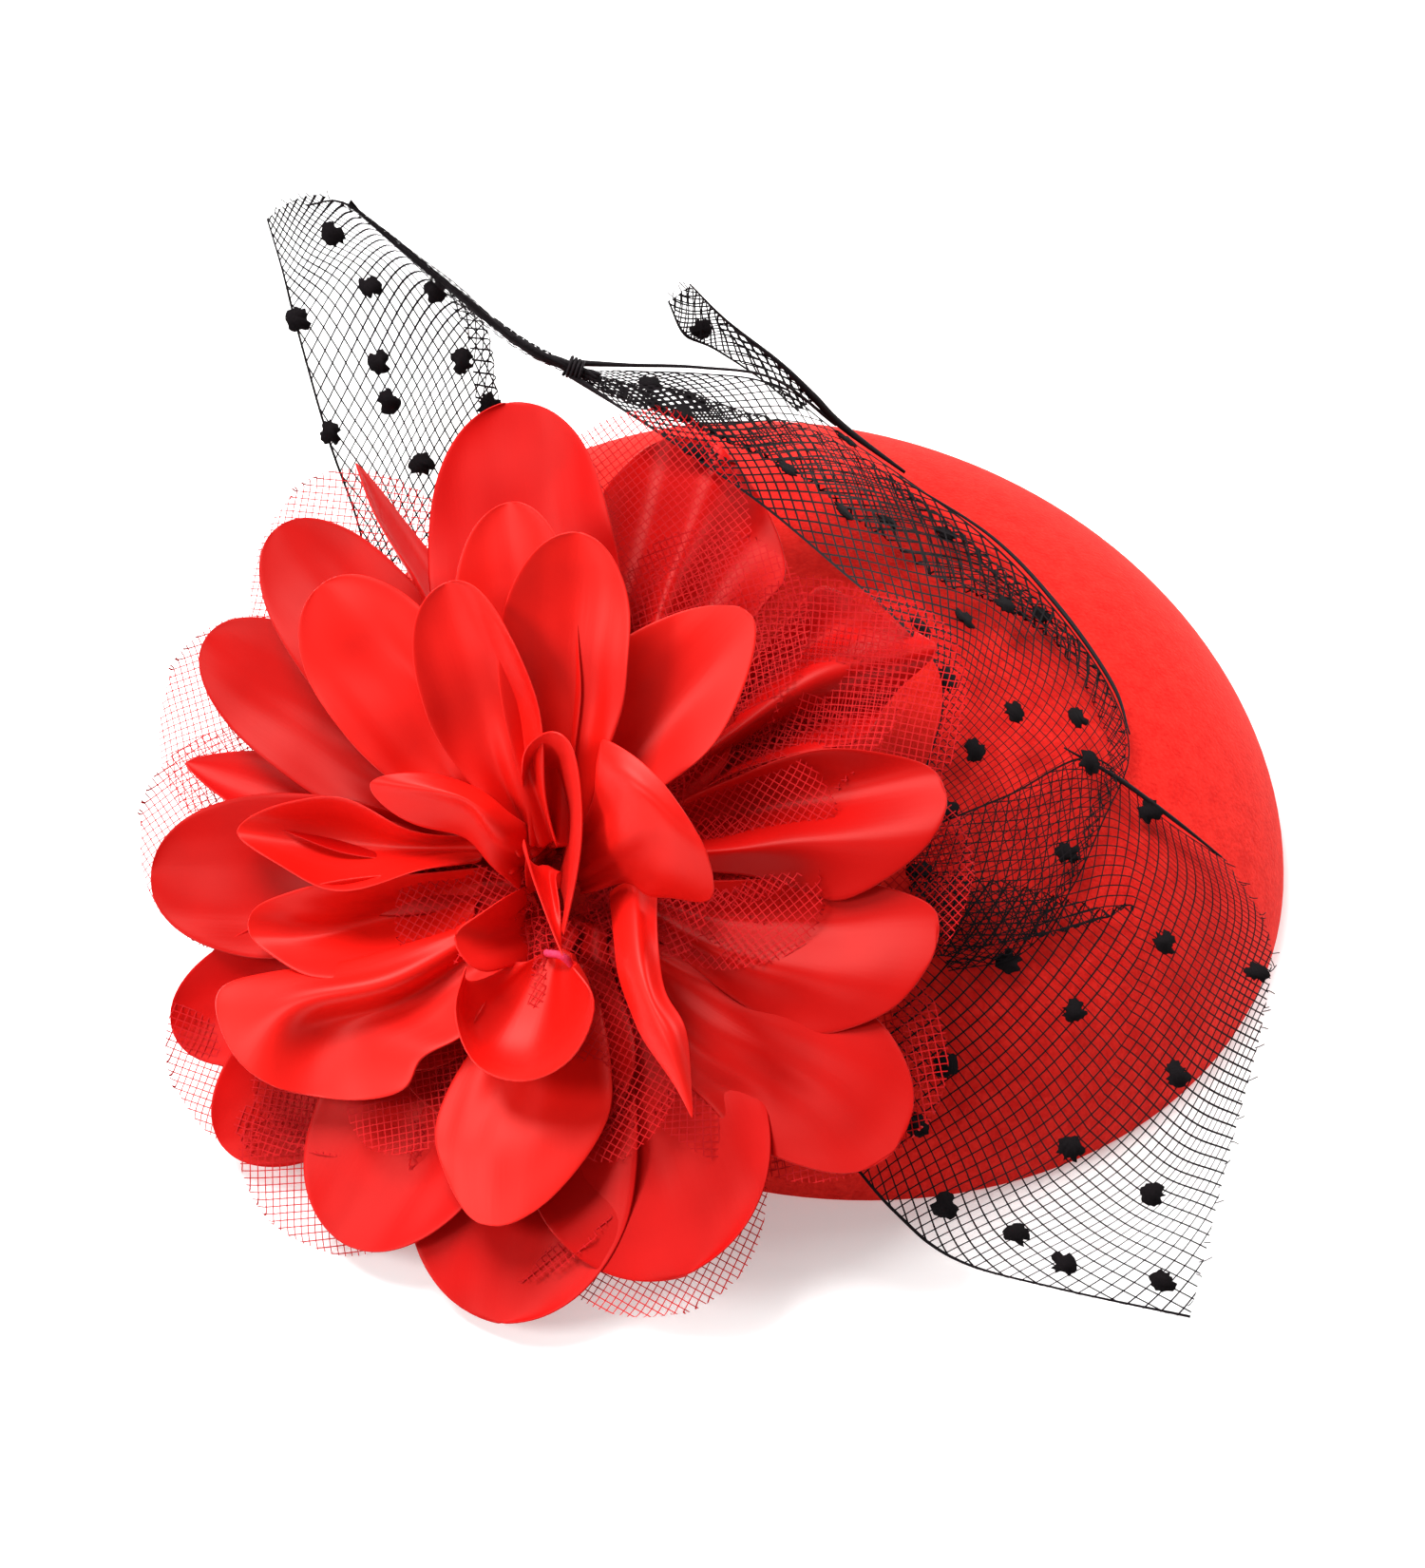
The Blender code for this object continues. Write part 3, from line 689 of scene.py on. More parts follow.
def rumple(bm, flats, length, seed):
    """Push a petal in and out along its normals."""
    bm.normal_update()
    moves = {}
    for vert, (along, across) in flats.items():
        share = along / length
        wave = noise.noise(Vector((along, across, seed)) / RUMPLE_LENGTH_MM)
        crease = noise.noise(Vector((along / CREASE_LENGTH_MM, across / CREASE_WIDTH_MM, seed)))
        middle = smooth_step(share * 2) * (1 - share ** 6)
        push = RUMPLE_MM * wave * middle + CREASE_MM * crease * (1 - share) ** 0.7
        moves[vert] = vert.normal * push * MM
    for vert, move in moves.items():
        vert.co += move


print("rumples", RUMPLE_MM, "mm and creases", CREASE_MM, "mm deep at most")

# %% [markdown]
# ## From a shape to cloth
#
# Each petal is one flat grid. Every point of it is asked for its place on the flat cloth, which
# becomes its UV in millimetres, and for its place in the flower. The grid's rows crowd towards the
# tip, so that the round end is smooth.

# %% Petal mesh
GRID_ALONG, GRID_ACROSS = 26, 16
TIP_CROWDING = 1.7


def add_petal(bm, shape):
    """Bend one flat grid into a petal, with its flat size in millimetres as its UV map."""
    seed = len(bm.verts) * 0.37     # so that no two petals of a round rumple alike
    made = bmesh.ops.create_grid(bm, x_segments=GRID_ALONG, y_segments=GRID_ACROSS, size=0.5,
                                 calc_uvs=False)
    layer = bm.loops.layers.uv.get("cloth_mm") or bm.loops.layers.uv.new("cloth_mm")
    flats = {}
    for vert in made["verts"]:
        share = 1 - (1 - (vert.co.x + 0.5)) ** TIP_CROWDING
        side = vert.co.y * 2
        flats[vert] = shape.flat_point(share, side)
        vert.co = FLOWER @ shape.place(share, side)
    for face in {face for vert in made["verts"] for face in vert.link_faces}:
        for loop in face.loops:
            loop[layer].uv = flats[loop.vert]
    rumple(bm, flats, shape.length, seed)


# %% [markdown]
# ## How close the threads lie
#
# A net shows how it is gathered, because its threads crowd. The placed edges of each piece are
# measured against the same edges laid flat, and the largest ratio round a point is stored there as
# its closeness. The net's finish reads it. Gathers too fine to be shaped multiply it by an amount
# that can change along the length.

# %% Closeness
MOST_CLOSENESS = 2.8
EVEN = ((0, 1), (1, 1))


def note_closeness(mesh, gathers=EVEN):
    """Store at each vertex how much longer its edges are flat than they are in place."""
    flats = [Vector((0, 0))] * len(mesh.vertices)
    for corner, spot in zip(mesh.loops, mesh.uv_layers["cloth_mm"].data):
        flats[corner.vertex_index] = spot.uv.copy()
    full = max(flat.x for flat in flats)
    shares, amounts = zip(*gathers)
    extra = [float(np.interp(flat.x / full, shares, amounts)) for flat in flats]
    most = [min(amount, 1.0) for amount in extra]
    for edge in mesh.edges:
        one, two = edge.vertices
        placed = (mesh.vertices[one].co - mesh.vertices[two].co).length / MM
        ratio = (flats[one] - flats[two]).length / max(placed, 1e-3)
        for end in (one, two):
            most[end] = max(most[end], min(ratio * extra[end], MOST_CLOSENESS))
    mesh.attributes.new("closeness", "FLOAT", "POINT").data.foreach_set("value", most)


# %% [markdown]
# ## A round of petals
#
# Petals that are sewn in together are one piece of the object, and stand for one disc of the CAD
# model. Satin gets its thickness from Solidify, and one level of subdivision rounds its edge. Tulle
# has no thickness worth drawing. The flat size of a round is that of its petals side by side.

# %% Round
SATIN_THICKNESS = 0.25 * MM


def cloth_round(name, shapes, finish, stands_for, thickness=0):
    """One round of petals as one piece of open cloth."""
    bm = bmesh.new()
    for shape in shapes:
        add_petal(bm, shape)
    made = piece(name, bm, finish, [stands_for], solid=False)
    note_closeness(made.data)
    if thickness:
        shell = made.modifiers.new("cloth thickness", "SOLIDIFY")
        shell.thickness = thickness
        shell.offset = 0
        rounding = made.modifiers.new("singed edge", "SUBSURF")
        rounding.levels = rounding.render_levels = 1
    area = sum(shape.flat_area() for shape in shapes)
    print(name, len(shapes), "petals,", round(area), "square mm")


def petal_round(number, satin, shapes):
    cloth_round(f"petal_round_{number}", shapes, satin, f"petal_layer_{number}",
                SATIN_THICKNESS)


# %% [markdown]
# ## The outer rounds of satin
#
# They were sewn in from the outside inwards, so the rounds go the same way. The three outer ones
# lie wide and almost flat, with their tips just turned up. A bent petal's numbers are its heading,
# reach, width, level and two rises. The third round also has four broad, short petals, the pad that
# hides the felt disc.

# %% Rounds 1 to 3
petal_round(1, petal_satin, [
    Petal(263, 57, 31, 4.6, (3, 3), cup=0.12, ruffle=0.5),
    Petal(214, 57, 22, 4, (1, 2), cup=0.2, tilt=-8),
    Petal(116, 65, 15, 5, (6, 8), cup=0.5, tilt=75, point=0.7),
    FoldedPetal((
        ((4, 8, 8), (5, 7.5, 8), (6, 7, 8), (7, 6.5, 8), (8, 5.5, 8)),
        ((4, 23.5, 7), (7, 25, 4), (12, 22.5, 8), (14, 22.5, 4), (18.5, 18.5, 7)),
        ((3.5, 41.5, 4), (9.5, 42.5, 0), (16, 39, 5), (20, 37.5, 0), (26.5, 32, 4)),
        ((4.5, 58, 0), (11.5, 62.5, -5), (20.5, 58.5, -2), (26.5, 50.5, -5), (32.5, 41, -2)),
    ), tip=0.2, square=2.6),
])
petal_round(2, petal_satin, [
    Petal(238, 54, 28, 5.4, (3, 4), cup=0.2, tilt=6),
    Petal(289, 54, 33, 5.2, (2, 3), cup=0.12, ruffle=0.6),
    Petal(197, 57, 20, 5, (-2, 4), cup=0.4, tilt=-12),
    Petal(160, 56, 15, 6, (2, 6), cup=0.55, tilt=14, point=0.6),
    Petal(96, 65, 27, 6, (6, 8), cup=0.28, ruffle=0.4),
    FoldedPetal((
        ((8.5, 6, 8), (9, 5, 8), (9.5, 4, 8), (10.5, 3, 8), (11, 2, 8)),
        ((20, 18, 8), (20.5, 17.5, 4), (24, 14, 9), (24, 13.5, 4), (25.5, 10, 8)),
        ((30.5, 30, 5), (32, 27.5, 0), (36.5, 22.5, 7), (36, 18.5, 2), (36.5, 12.5, 7)),
        ((35, 40, -2), (40.5, 35, -5), (50.5, 27.5, 0), (44, 22, -2), (43.5, 15, 4)),
    ), tip=0.15, square=3.0),
])
# Round 3 is cut from the darker satin, which is painted shade for petals lying under the others.
petal_round(3, painted_shade_satin, [
    Petal(176, 57, 23, 7, (2, 4), cup=0.3, tilt=-6),
    Petal(144, 61, 19, 7, (4, 6), cup=0.3),
    Petal(128, 63, 20, 8, (6, 6), cup=0.3, tilt=6),
    Petal(200, 34, 34, 6.4, (2, 3), cup=0.08),
    Petal(150, 36, 32, 6.6, (2, 3), cup=0.08),
    Petal(255, 34, 34, 6.4, (2, 3), cup=0.08),
    Petal(70, 34, 32, 6.2, (2, 2), cup=0.08),
    FoldedPetal((
        ((7, -7.5, 7), (8.5, -9.5, 7), (8.5, -11, 7), (7.5, -13, 7)),
        ((21.5, -14.5, 8), (22.5, -19.5, 8), (20, -24.5, 8), (16, -26.5, 7)),
        ((36.5, -19.5, 8), (37.5, -27.5, 8), (34, -33.5, 8), (23.5, -35, 7)),
        ((48, -21, 8), (49, -34.5, 8), (41, -42.5, 7), (24, -39.5, 6)),
    ), tip=0.35, square=2.6),
    FoldedPetal((
        ((8.5, -2, 8), (10, -4, 8), (10.5, -6, 8), (10.5, -7.5, 8)),
        ((22.5, -4.5, 10), (22.5, -8.5, 8), (22.5, -13, 10), (20, -15.5, 8)),
        ((35.5, -4.5, 10), (36.5, -10.5, 8), (36, -17, 11), (30, -23, 8)),
        ((46, -4.5, 9), (52.5, -10, 8), (48.5, -21, 10), (38, -28, 8)),
    ), tip=0.35, square=2.6),
    FoldedPetal((
        ((9, 2, 9), (9.5, 1, 9), (10, 0, 8), (10, -2, 8)),
        ((23, 7, 12), (22.5, 4, 8), (24.5, -1, 13), (24.5, -3.5, 10)),
        ((36, 11, 12), (35, 6, 8), (37, -0.5, 13), (35.5, -6.5, 9)),
        ((46, 13, 10), (52.5, 8.5, 8), (52.5, -1, 11), (41.5, -11.5, 9)),
    ), tip=0.35, square=2.6),
])

# %% [markdown]
# ## The middle rounds
#
# These stand at 15 to 30 degrees. They are shorter, catch the most light, and are folded to gutters
# that point at the heart.

# %% Rounds 4 and 5
# Rounds 4 and 5 use the brighter satin, which is painted light for the petals near the heart.
petal_round(4, painted_light_satin, [
    Petal(127, 47, 20, 10, (22, 14), cup=0.4, pleat=0.9),
    Petal(92, 46, 19, 10, (24, 18), cup=0.4, tilt=-10),
    FoldedPetal((
        ((2, -12, 7), (3, -13, 7), (4.5, -13.5, 7), (6, -14, 7)),
        ((-8.5, -24.5, 10), (-3, -26, 10), (3, -26.5, 10), (9, -23.5, 9)),
        ((-13, -34.5, 12), (-6.5, -37, 13), (2, -36.5, 13), (10.5, -31.5, 11)),
        ((-12.5, -44.5, 12), (-6.5, -48, 13), (1.5, -46.5, 13), (12, -38.5, 11)),
    ), tip=0.42, square=2.4),
    FoldedPetal((
        ((-6, -7.5, 10), (-6, -9, 9), (-5, -11, 9), (-4, -13, 10)),
        ((-22, -12, 13), (-17, -16.5, 15), (-17.5, -18, 10), (-8, -23, 14)),
        ((-37.5, -14, 13), (-31, -19.5, 16), (-27.5, -22, 11), (-14.5, -27.5, 14)),
        ((-49, -15, 13), (-38.5, -27, 14), (-27.5, -31, 12), (-13, -34, 14)),
    ), tip=0.35, square=2.6),
    FoldedPetal((
        ((3.5, 5, 9), (4.5, 3.5, 9), (5, 2.5, 9), (6, 1, 9)),
        ((7.5, 13.5, 17), (10.5, 12.5, 15), (13.5, 10.5, 15), (16, 5.5, 16)),
        ((10, 23, 20), (16.5, 21.5, 19), (22, 18, 18), (25, 10, 19)),
        ((18, 30.5, 20), (25, 29.5, 20), (32, 26.5, 20), (33, 15.5, 19)),
    ), tip=0.5, square=2.2),
])
petal_round(5, painted_light_satin, [
    Petal(104, 36, 17, 12, (34, 22), cup=0.62, tilt=-8, pleat=0.8),
    Petal(78, 41, 18, 11.4, (30, 21), cup=0.4, tilt=8),
    FoldedPetal((
        ((-6.5, 3, 10), (-7, 2, 10), (-7.5, 1, 10), (-8, -0.5, 11)),
        ((-15, 3.5, 15), (-16.5, 2.5, 11), (-16, 0.5, 12), (-14, -2.5, 17)),
        ((-26, 8, 17), (-29, 5.5, 11), (-29, 1.5, 11), (-25.5, -4.5, 17)),
        ((-38, 9, 17), (-40.5, 6.5, 14), (-40.5, 3.5, 14), (-34.5, -2, 18)),
    ), tip=0.45, square=2.2),
    FoldedPetal((
        ((-7, -0.5, 10), (-8.5, -2.5, 8), (-9, -5, 8), (-9, -7.5, 10)),
        ((-17.5, -2.5, 15), (-20.5, -4.5, 9), (-21, -8, 8), (-18, -15, 14)),
        ((-27.5, -3, 16), (-29.5, -6, 12), (-30.5, -9.5, 10), (-28, -16, 15)),
        ((-36.5, -3, 15), (-38.5, -5.5, 14), (-39, -9.5, 13), (-35.5, -14.5, 15)),
    ), tip=0.45, square=2.2),
])

# %% [markdown]
# ## The heart
#
# The last two rounds are small and steep. One petal is folded lengthways and points down, one is a
# bowl that faces the front, and one is rolled to a loop round the middle.

# %% Rounds 6 and 7
# Rounds 6 and 7 use the brighter satin too, painted light for the heart.
petal_round(6, painted_light_satin, [
    FoldedPetal((
        ((0, 3.5, 9), (-0.5, 1.5, 10), (-2, -0.5, 10), (-3.5, -4, 9)),
        ((-1.5, 4, 17), (-2, 1.5, 19), (-3.5, 0.5, 17), (-5.5, -1.5, 14)),
        ((-6, 8, 20), (-6.5, 5.5, 23), (-7.5, 4, 21), (-9.5, 1.5, 17)),
        ((-16.5, 10.5, 21), (-19, 9, 21), (-20, 7.5, 20), (-19, 4, 18)),
    ), tip=0.3, square=2.6),
    FoldedPetal((
        ((9, -5, 10), (13.5, -4.5, 13), (16, -5, 11)),
        ((12, -13.5, 17), (16, -13.5, 20), (18, -12, 17)),
        ((14.5, -21, 20), (18.5, -21.5, 23), (20, -20, 20)),
        ((18, -27.5, 21), (21.5, -28, 23), (23, -26, 21)),
        ((23, -36, 20), (23.5, -36.5, 20), (24, -35.5, 20)),
    ), tip=0.3, square=2.2),
    FoldedPetal((
        ((3.5, 1, 8), (3.5, -1, 8), (4, -2.5, 8), (4.5, -4, 8), (5, -5, 8)),
        ((9, 3.5, 19), (12.5, 1, 22), (14.5, -2, 22), (14, -4, 18), (12.5, -5, 14)),
        ((12, 7.5, 25), (17, 4, 28), (21, -0.5, 27), (21, -5.5, 22), (16.5, -7, 16)),
        ((13, 12, 26), (21, 5, 28), (26.5, -4, 26), (26, -9.5, 20), (18.5, -7.5, 16)),
    ), tip=0.12, square=3.0),
    FoldedPetal((
        ((-2.5, -14, 11), (-1.5, -13.5, 10), (0, -12.5, 9), (2, -12, 9), (3, -12, 9),
         (4.5, -13, 10), (4.5, -13.5, 11)),
        ((-7, -17, 15), (-7.5, -20.5, 13), (-5.5, -24, 12), (0, -25.5, 12), (5, -24, 13),
         (8.5, -19.5, 16), (6.5, -15.5, 16)),
        ((-7, -15.5, 18), (-8.5, -21.5, 18), (-5.5, -28.5, 18), (1.5, -31, 19),
         (8.5, -28.5, 21), (11.5, -22, 22), (8, -17, 21)),
    ), tip=0.0, square=2.2),
])
petal_round(7, painted_light_satin, [
    FoldedPetal((
        ((-3, -4.5, 7), (-1.5, -3.5, 7), (0, -3, 7), (1.5, -4, 7)),
        ((-0.5, -2, 15), (0.5, -2.5, 13), (2, -3, 13), (4, -4.5, 15)),
        ((1, 0, 20), (2.5, -5.5, 20), (5, -12, 20), (6.5, -15.5, 20)),
    ), tip=0.0, square=2.2),
    FoldedPetal((
        ((-2, -3.5, 9), (-2.5, -7.5, 8), (-1.5, -13.5, 8)),
        ((-2, -6, 15), (-4.5, -10, 13), (-3.5, -15, 13)),
        ((-5.5, -8.5, 18), (-9, -11.5, 17), (-7, -17.5, 18)),
    ), tip=0.4, square=2.2),
    FoldedPetal((
        ((-0.5, 3.5, 6), (0, 4, 6), (0.5, 4.5, 6), (1, 4.5, 6), (1.5, 2, 6), (1.5, -2, 6),
         (2, -7, 6)),
        ((-0.5, 6.5, 14), (1, 9, 16), (3.5, 10, 17), (5, 8.5, 17), (6, 3, 16), (5.5, -3.5, 15),
         (4.5, -10.5, 14)),
        ((0.5, 8, 20), (2, 11, 23), (6, 12.5, 25), (9, 10, 25), (10, 2, 24), (9, -4.5, 22),
         (6.5, -13, 20)),
    ), tip=0.0, square=2.2),
])

# %% [markdown]
# ## The tulle between them
#
# Four rounds of fine red tulle fill the flower out and show as a haze past the satin edges. They
# are cut like petals but wider and ruffled, and left with raw edges.

# %% Tulle rounds
def tulle_round(number, petals, width, level, rise, **shape):
    """A round of tulle petals that differ in their heading and reach only."""
    shapes = [Petal(heading, reach, width, level, rise, **shape) for heading, reach in petals]
    cloth_round(f"tulle_round_{number}", shapes, petal_tulle, f"tulle_layer_{number}")


tulle_round(1, ((30, 60), (80, 66), (125, 70), (150, 66), (168, 62), (205, 59), (228, 58), (286, 58),
                (325, 58), (358, 54)), 34, 3.4, (2, 3), cup=0.05, ruffle=1.4, waves=2.6)
tulle_round(2, ((18, 44), (38, 55), (60, 52), (215, 50), (262, 52), (318, 50)), 30, 5.6, (1, 1),
            cup=0.1, ruffle=1.6, waves=2.2)
tulle_round(3, ((60, 36), (352, 36), (234, 42), (285, 38), (12, 38)), 20, 8.6, (3, 3), cup=0.1,
            ruffle=0.9)
tulle_round(4, ((44, 22), (196, 22), (340, 22)), 14, 9.4, (10, 6), cup=0.15, ruffle=0.8)

# %% [markdown]
# ## Pleats and folds
#
# The veil is one long strip, tacked at the twist and at the gather. Between the tacks it springs
# away from the cap in stiff, shallow curves. Doubled net is what makes its dark parts, because two
# meshes cross. There are two kinds of fold: an edge turned back under, and a tuck, where the net
# runs forwards, back and forwards again, each run a little below the last. Each is a function from
# a place on the flat net to a place on the surface and a height, so the cloth is never stretched,
# only laid differently.

# %% Folds
def folded_back(share, drop):
    """A fold function with one edge turned back under, for a share of the flat width."""
    def fold(along, across):
        if across <= 1 - share:
            return across / (1 - share), 0.0
        back = (across - (1 - share)) / share
        return 1 - back * share / (1 - share), -drop * smooth_step(back * 6)
    return fold


def tuck(stations, drop):
    """A fold function with three layers where the net runs back on itself.

    Each station is (along, from, to): between the two places across, the net lies threefold.
    """
    places, starts, ends = zip(*stations)

    def fold(along, across):
        start = np.interp(along, places, starts)
        end = np.interp(along, places, ends)
        back = max(end - start, 1e-4)
        deep = drop * min(1, back / 0.05)     # a tuck that closes also flattens
        stretch = 1 + 2 * back
        run = across * stretch
        if run <= end:
            return run, 0.0
        if run <= end + back:
            share = (run - end) / back
            return end - back * share, -deep * smooth_step(share * 4)
        share = (run - end - back) / max(stretch - end - back, 1e-4)
        return start + (1 - start) * share, -deep * (2 - smooth_step(share * 2))
    return fold


for share in (0.3, 0.95):
    place, lift = folded_back(0.12, 0.9)(0.5, share)
    print("a place at", share, "of the flat width lies at", round(place, 2), "and", round(lift, 2))

# %% [markdown]
# ## Where the four lengths run
#
# Each length is a few rows of points across it, in the cap's millimetres. Where it lies on the felt,
# on_hat gives the height. The sail stands up behind the flower, and the band comes down from it
# over the cap's back and side. The tail is a narrow offcut that stands up beside the band, and the
# fan spreads from its pleats over the cap's front to a raw hem.

# %% Rows of the sail and the band
SAIL_ROWS = (
    ((-42.5, 44, 36), (-37, 41.5, 37), (-28, 38.5, 39.5), (-19.5, 37, 43)),
    ((-41.5, 47.5, 43), (-34, 47.5, 47), (-26.5, 46.5, 50.5), (-18.5, 44.5, 53)),
    ((-40.5, 55, 52), (-31.5, 53.5, 57), (-23.5, 52.5, 60), (-16.5, 50, 62.5)),
    ((-37.5, 66, 62.5), (-29, 64, 67), (-22.5, 61, 68.5), (-18.5, 55.5, 66.5)),
    ((-36, 71, 68.5), (-30, 70.5, 71), (-24.5, 68, 72), (-21.5, 63, 70.5)),
    ((-34.5, 76.5, 73), (-31, 75.5, 75), (-28, 73.5, 76), (-25.5, 71, 75)),
)
BAND_ROWS = (
    ((-25.5, 70, 75.5), (-25, 70, 75.5), (-25, 70, 75.5), (-24.5, 70, 75.5)),
    ((-22, 62.5, 70.5), (-22, 62, 71), (-21.5, 62.5, 71.5), (-21, 62.5, 71.5)),
    ((-19.5, 54.5, 66.5), (-19, 54, 67.5), (-18.5, 54, 68), (-17.5, 54.5, 68)),
    ((-15.5, 45, 62), (-15.5, 44.5, 63.5), (-15, 44.5, 63.5), (-14, 45.5, 63)),
    ((-11.5, 38, 60), (-11, 37.5, 61), (-10.5, 38.5, 61), (-10, 39, 60.5)),
    ((-8.5, 31, 58), (-6.5, 33, 58), (-4.5, 35, 57.5), (-2.5, 37, 57.5)),
    ((-6.5, 24, 57), (-2, 27, 56), (2.5, 30.5, 55.5), (7.5, 34, 54)),
    ((-4, 14.5, 55.5), (2.5, 19, 54), (10, 25.5, 50.5), (19, 32.5, 47)),
    ((-2, 4.5, 54.5), (7, 10.5, 51.5), (18.5, 21, 43.5), (28, 29, 36)),
    ((-1, -8.5, 54), (11.5, 2, 45), on_hat(25, 13.5, 5), on_hat(33, 17, 3)),
    ((1, -18.5, 51.5), (12, -11, 44), on_hat(25, -2, 5), on_hat(34, 1, 3)),
    ((4.5, -23.5, 44.5), on_hat(14, -19, 9), on_hat(24.5, -15, 5), on_hat(33, -15.5, 3)),
    (on_hat(2.5, -27.5, 10), on_hat(11.5, -27, 7), on_hat(21.5, -27.5, 5), on_hat(30.5, -30, 3)),
    (on_hat(-2, -31, 8), on_hat(7, -33.5, 6), on_hat(16.5, -37.5, 5), on_hat(25.5, -40.5, 3)),
    (on_hat(-6, -33.5, 6), on_hat(1.5, -38, 5), on_hat(8.5, -42.5, 4), on_hat(15, -47.5, 3)),
    (on_hat(-9.5, -37, 6), on_hat(-5, -42.5, 5), on_hat(0, -48.5, 4), on_hat(4.5, -53.5, 3)),
    (on_hat(-12, -39, 5), on_hat(-10, -44.5, 4), on_hat(-8.5, -52, 4), on_hat(-6.5, -57, 3)),
    (on_hat(-13, -39.5, 4), on_hat(-14.5, -44, 4), on_hat(-15, -49.5, 3), on_hat(-16, -53.5, 2.5)),
)
sail = RowSurface(SAIL_ROWS)
band = RowSurface(BAND_ROWS, lift=3.0)
print("sail and band", round(sail.length), "and", round(band.length), "mm long")

# %% Rows of the tail and the fan
TAIL_ROWS = (
    ((22, 30, 41.5), (23.5, 30.5, 41.5), (25, 31, 41)),
    ((18.5, 34, 46.5), (20.5, 34.5, 46.5), (22, 35, 46.5)),
    ((14.5, 40, 50), (17.5, 40.5, 50.5), (19, 41, 50.5)),
    ((11, 42.5, 52.5), (14, 43, 53.5), (16.5, 44, 54)),
    ((11, 46, 56.5), (13, 46.5, 56.5), (15, 47, 56.5)),
)
FAN_PLACES = (
    ((-10, -36.5, 3), (-15.5, -44.5, 3), (-22.5, -52, 3), (-30, -56, 3), (-39.5, -62, 2)),
    ((5.5, -38, 2), (-1, -51.5, 3), (-10.5, -61.5, 3), (-22.5, -68, 2), (-38.5, -71.5, 2)),
    ((20, -38.5, 2), (13.5, -54.5, 2), (3, -68, 3), (-15, -78.5, 2), (-35.5, -80.5, 1.5)),
    ((23.5, -49.5, 2), (22, -62, 2), (11, -74.5, 2), (-7, -86.5, 2), (-27, -90, 1)),
    ((29.5, -56.5, 2), (27.5, -68, 2), (18, -77.5, 2), (2, -89.5, 2), (-14.5, -102, 1)),
)
tail = RowSurface(TAIL_ROWS)
fan = RowSurface([[on_hat(*place) for place in row] for row in FAN_PLACES], lift=1.0)
print("tail and fan", round(tail.length), "and", round(fan.length), "mm long")

# %% [markdown]
# ## How each length is cut and laid
#
# The sail has one edge rolled under. The band is the same net tucked threefold, so that its meshes
# cross and it looks almost solid where it is widest. The fan's pleat opens out a third of the way
# to the hem.
#
# A length is cut wider than it lies, by its folds. It is also gathered too finely for each crease
# to be shaped, so its net is drawn narrower by the gather, and closer says how much nearer its
# threads lie at shares along it. Below 1 it is a stretch, where the net opens.

# %% Veil lengths
@dataclass
class VeilLength:
    """One length of the veil. Widths are in millimetres, and the bias is in degrees."""

    surface: RowSurface
    cut: float
    fold: object
    steps: tuple
    selvedges: tuple
    gather: float
    closer: tuple = EVEN
    bias: float = 0
    rests_on: tuple = ()


BAND_TUCK = ((0, 0.3, 0.7), (0.25, 0.3, 0.62), (0.4, 0.38, 0.66), (0.5, 0.42, 0.86),
             (0.6, 0.52, 0.86), (0.67, 0.86, 0.97), (0.85, 0.92, 0.97), (1, 0.9, 0.95))
BAND_CLOSER = ((0, 0.4), (0.24, 0.5), (0.32, 1.6), (0.6, 1.5), (0.72, 0.6), (1, 0.5))
FAN_TUCK = ((0, 0.12, 0.42), (0.2, 0.2, 0.36), (0.42, 0.31, 0.34), (0.5, 0.31, 0.31), (1, 0.31, 0.31))
VEIL = {
    "veil_sail": VeilLength(sail, sail.width / 0.88, folded_back(0.12, 0.9), (60, 40), (0,), 1.4,
                            closer=((0, 0.95), (1, 0.85)), bias=-22),
    "veil_band": VeilLength(band, band.width * 1.4, tuck(BAND_TUCK, 0.7), (160, 90), (0, 1), 1.45,
                            closer=BAND_CLOSER, rests_on=("felt_cap",)),
    "veil_tail": VeilLength(tail, 10.4, folded_back(0.5, 0.8), (24, 20), (1,), 1.3),
    "veil_fan": VeilLength(fan, fan.width * 1.15, tuck(FAN_TUCK, 0.6), (110, 120), (0, 1), 1.0,
                           closer=((0, 0.8), (1, 0.8)), bias=24, rests_on=("felt_cap",)),
}
for name, length in VEIL.items():
    print(name, "was cut", round(length.cut), "mm and lies", round(length.surface.width), "mm wide")

# %% [markdown]
# ## The net itself
#
# A grid over the flat net is laid on the surface by the fold. Its UV stays that of the flat net, so
# the drawn meshes cross where the net is doubled, just as they would.

# %% Net pieces
SELVEDGE_INSET_MM = 0.2


def net_piece(name, length):
    """A length of net, with the finish for its own bias and selvedges."""
    flat_width = length.cut * length.gather
    selvedges = [abs(side * flat_width - SELVEDGE_INSET_MM) for side in length.selvedges]
    finish = open_net("dotted_net_" + name, "0D070A", VEIL_CELL_MM, VEIL_THREAD_MM, selvedges,
                      length.bias)
    bm = bmesh.new()
    along_steps, across_steps = length.steps
    bmesh.ops.create_grid(bm, x_segments=along_steps, y_segments=across_steps, size=0.5)
    layer = bm.loops.layers.uv.new("cloth_mm")
    flats = {}
    for vert in bm.verts:
        along, across = vert.co.x + 0.5, vert.co.y + 0.5
        place, lift = length.fold(along, across)
        flats[vert] = (along * length.surface.length, across * flat_width)
        vert.co = length.surface.point(along, place, lift) * MM
    for face in bm.faces:
        for loop in face.loops:
            loop[layer].uv = flats[loop.vert]
    made = piece(name.replace("veil", "net"), bm, finish, [name], solid=False)
    note_closeness(made.data, length.closer)
    return made


nets = {name: net_piece(name, length) for name, length in VEIL.items()}
print("net pieces", [len(net.data.polygons) for net in nets.values()], "faces")

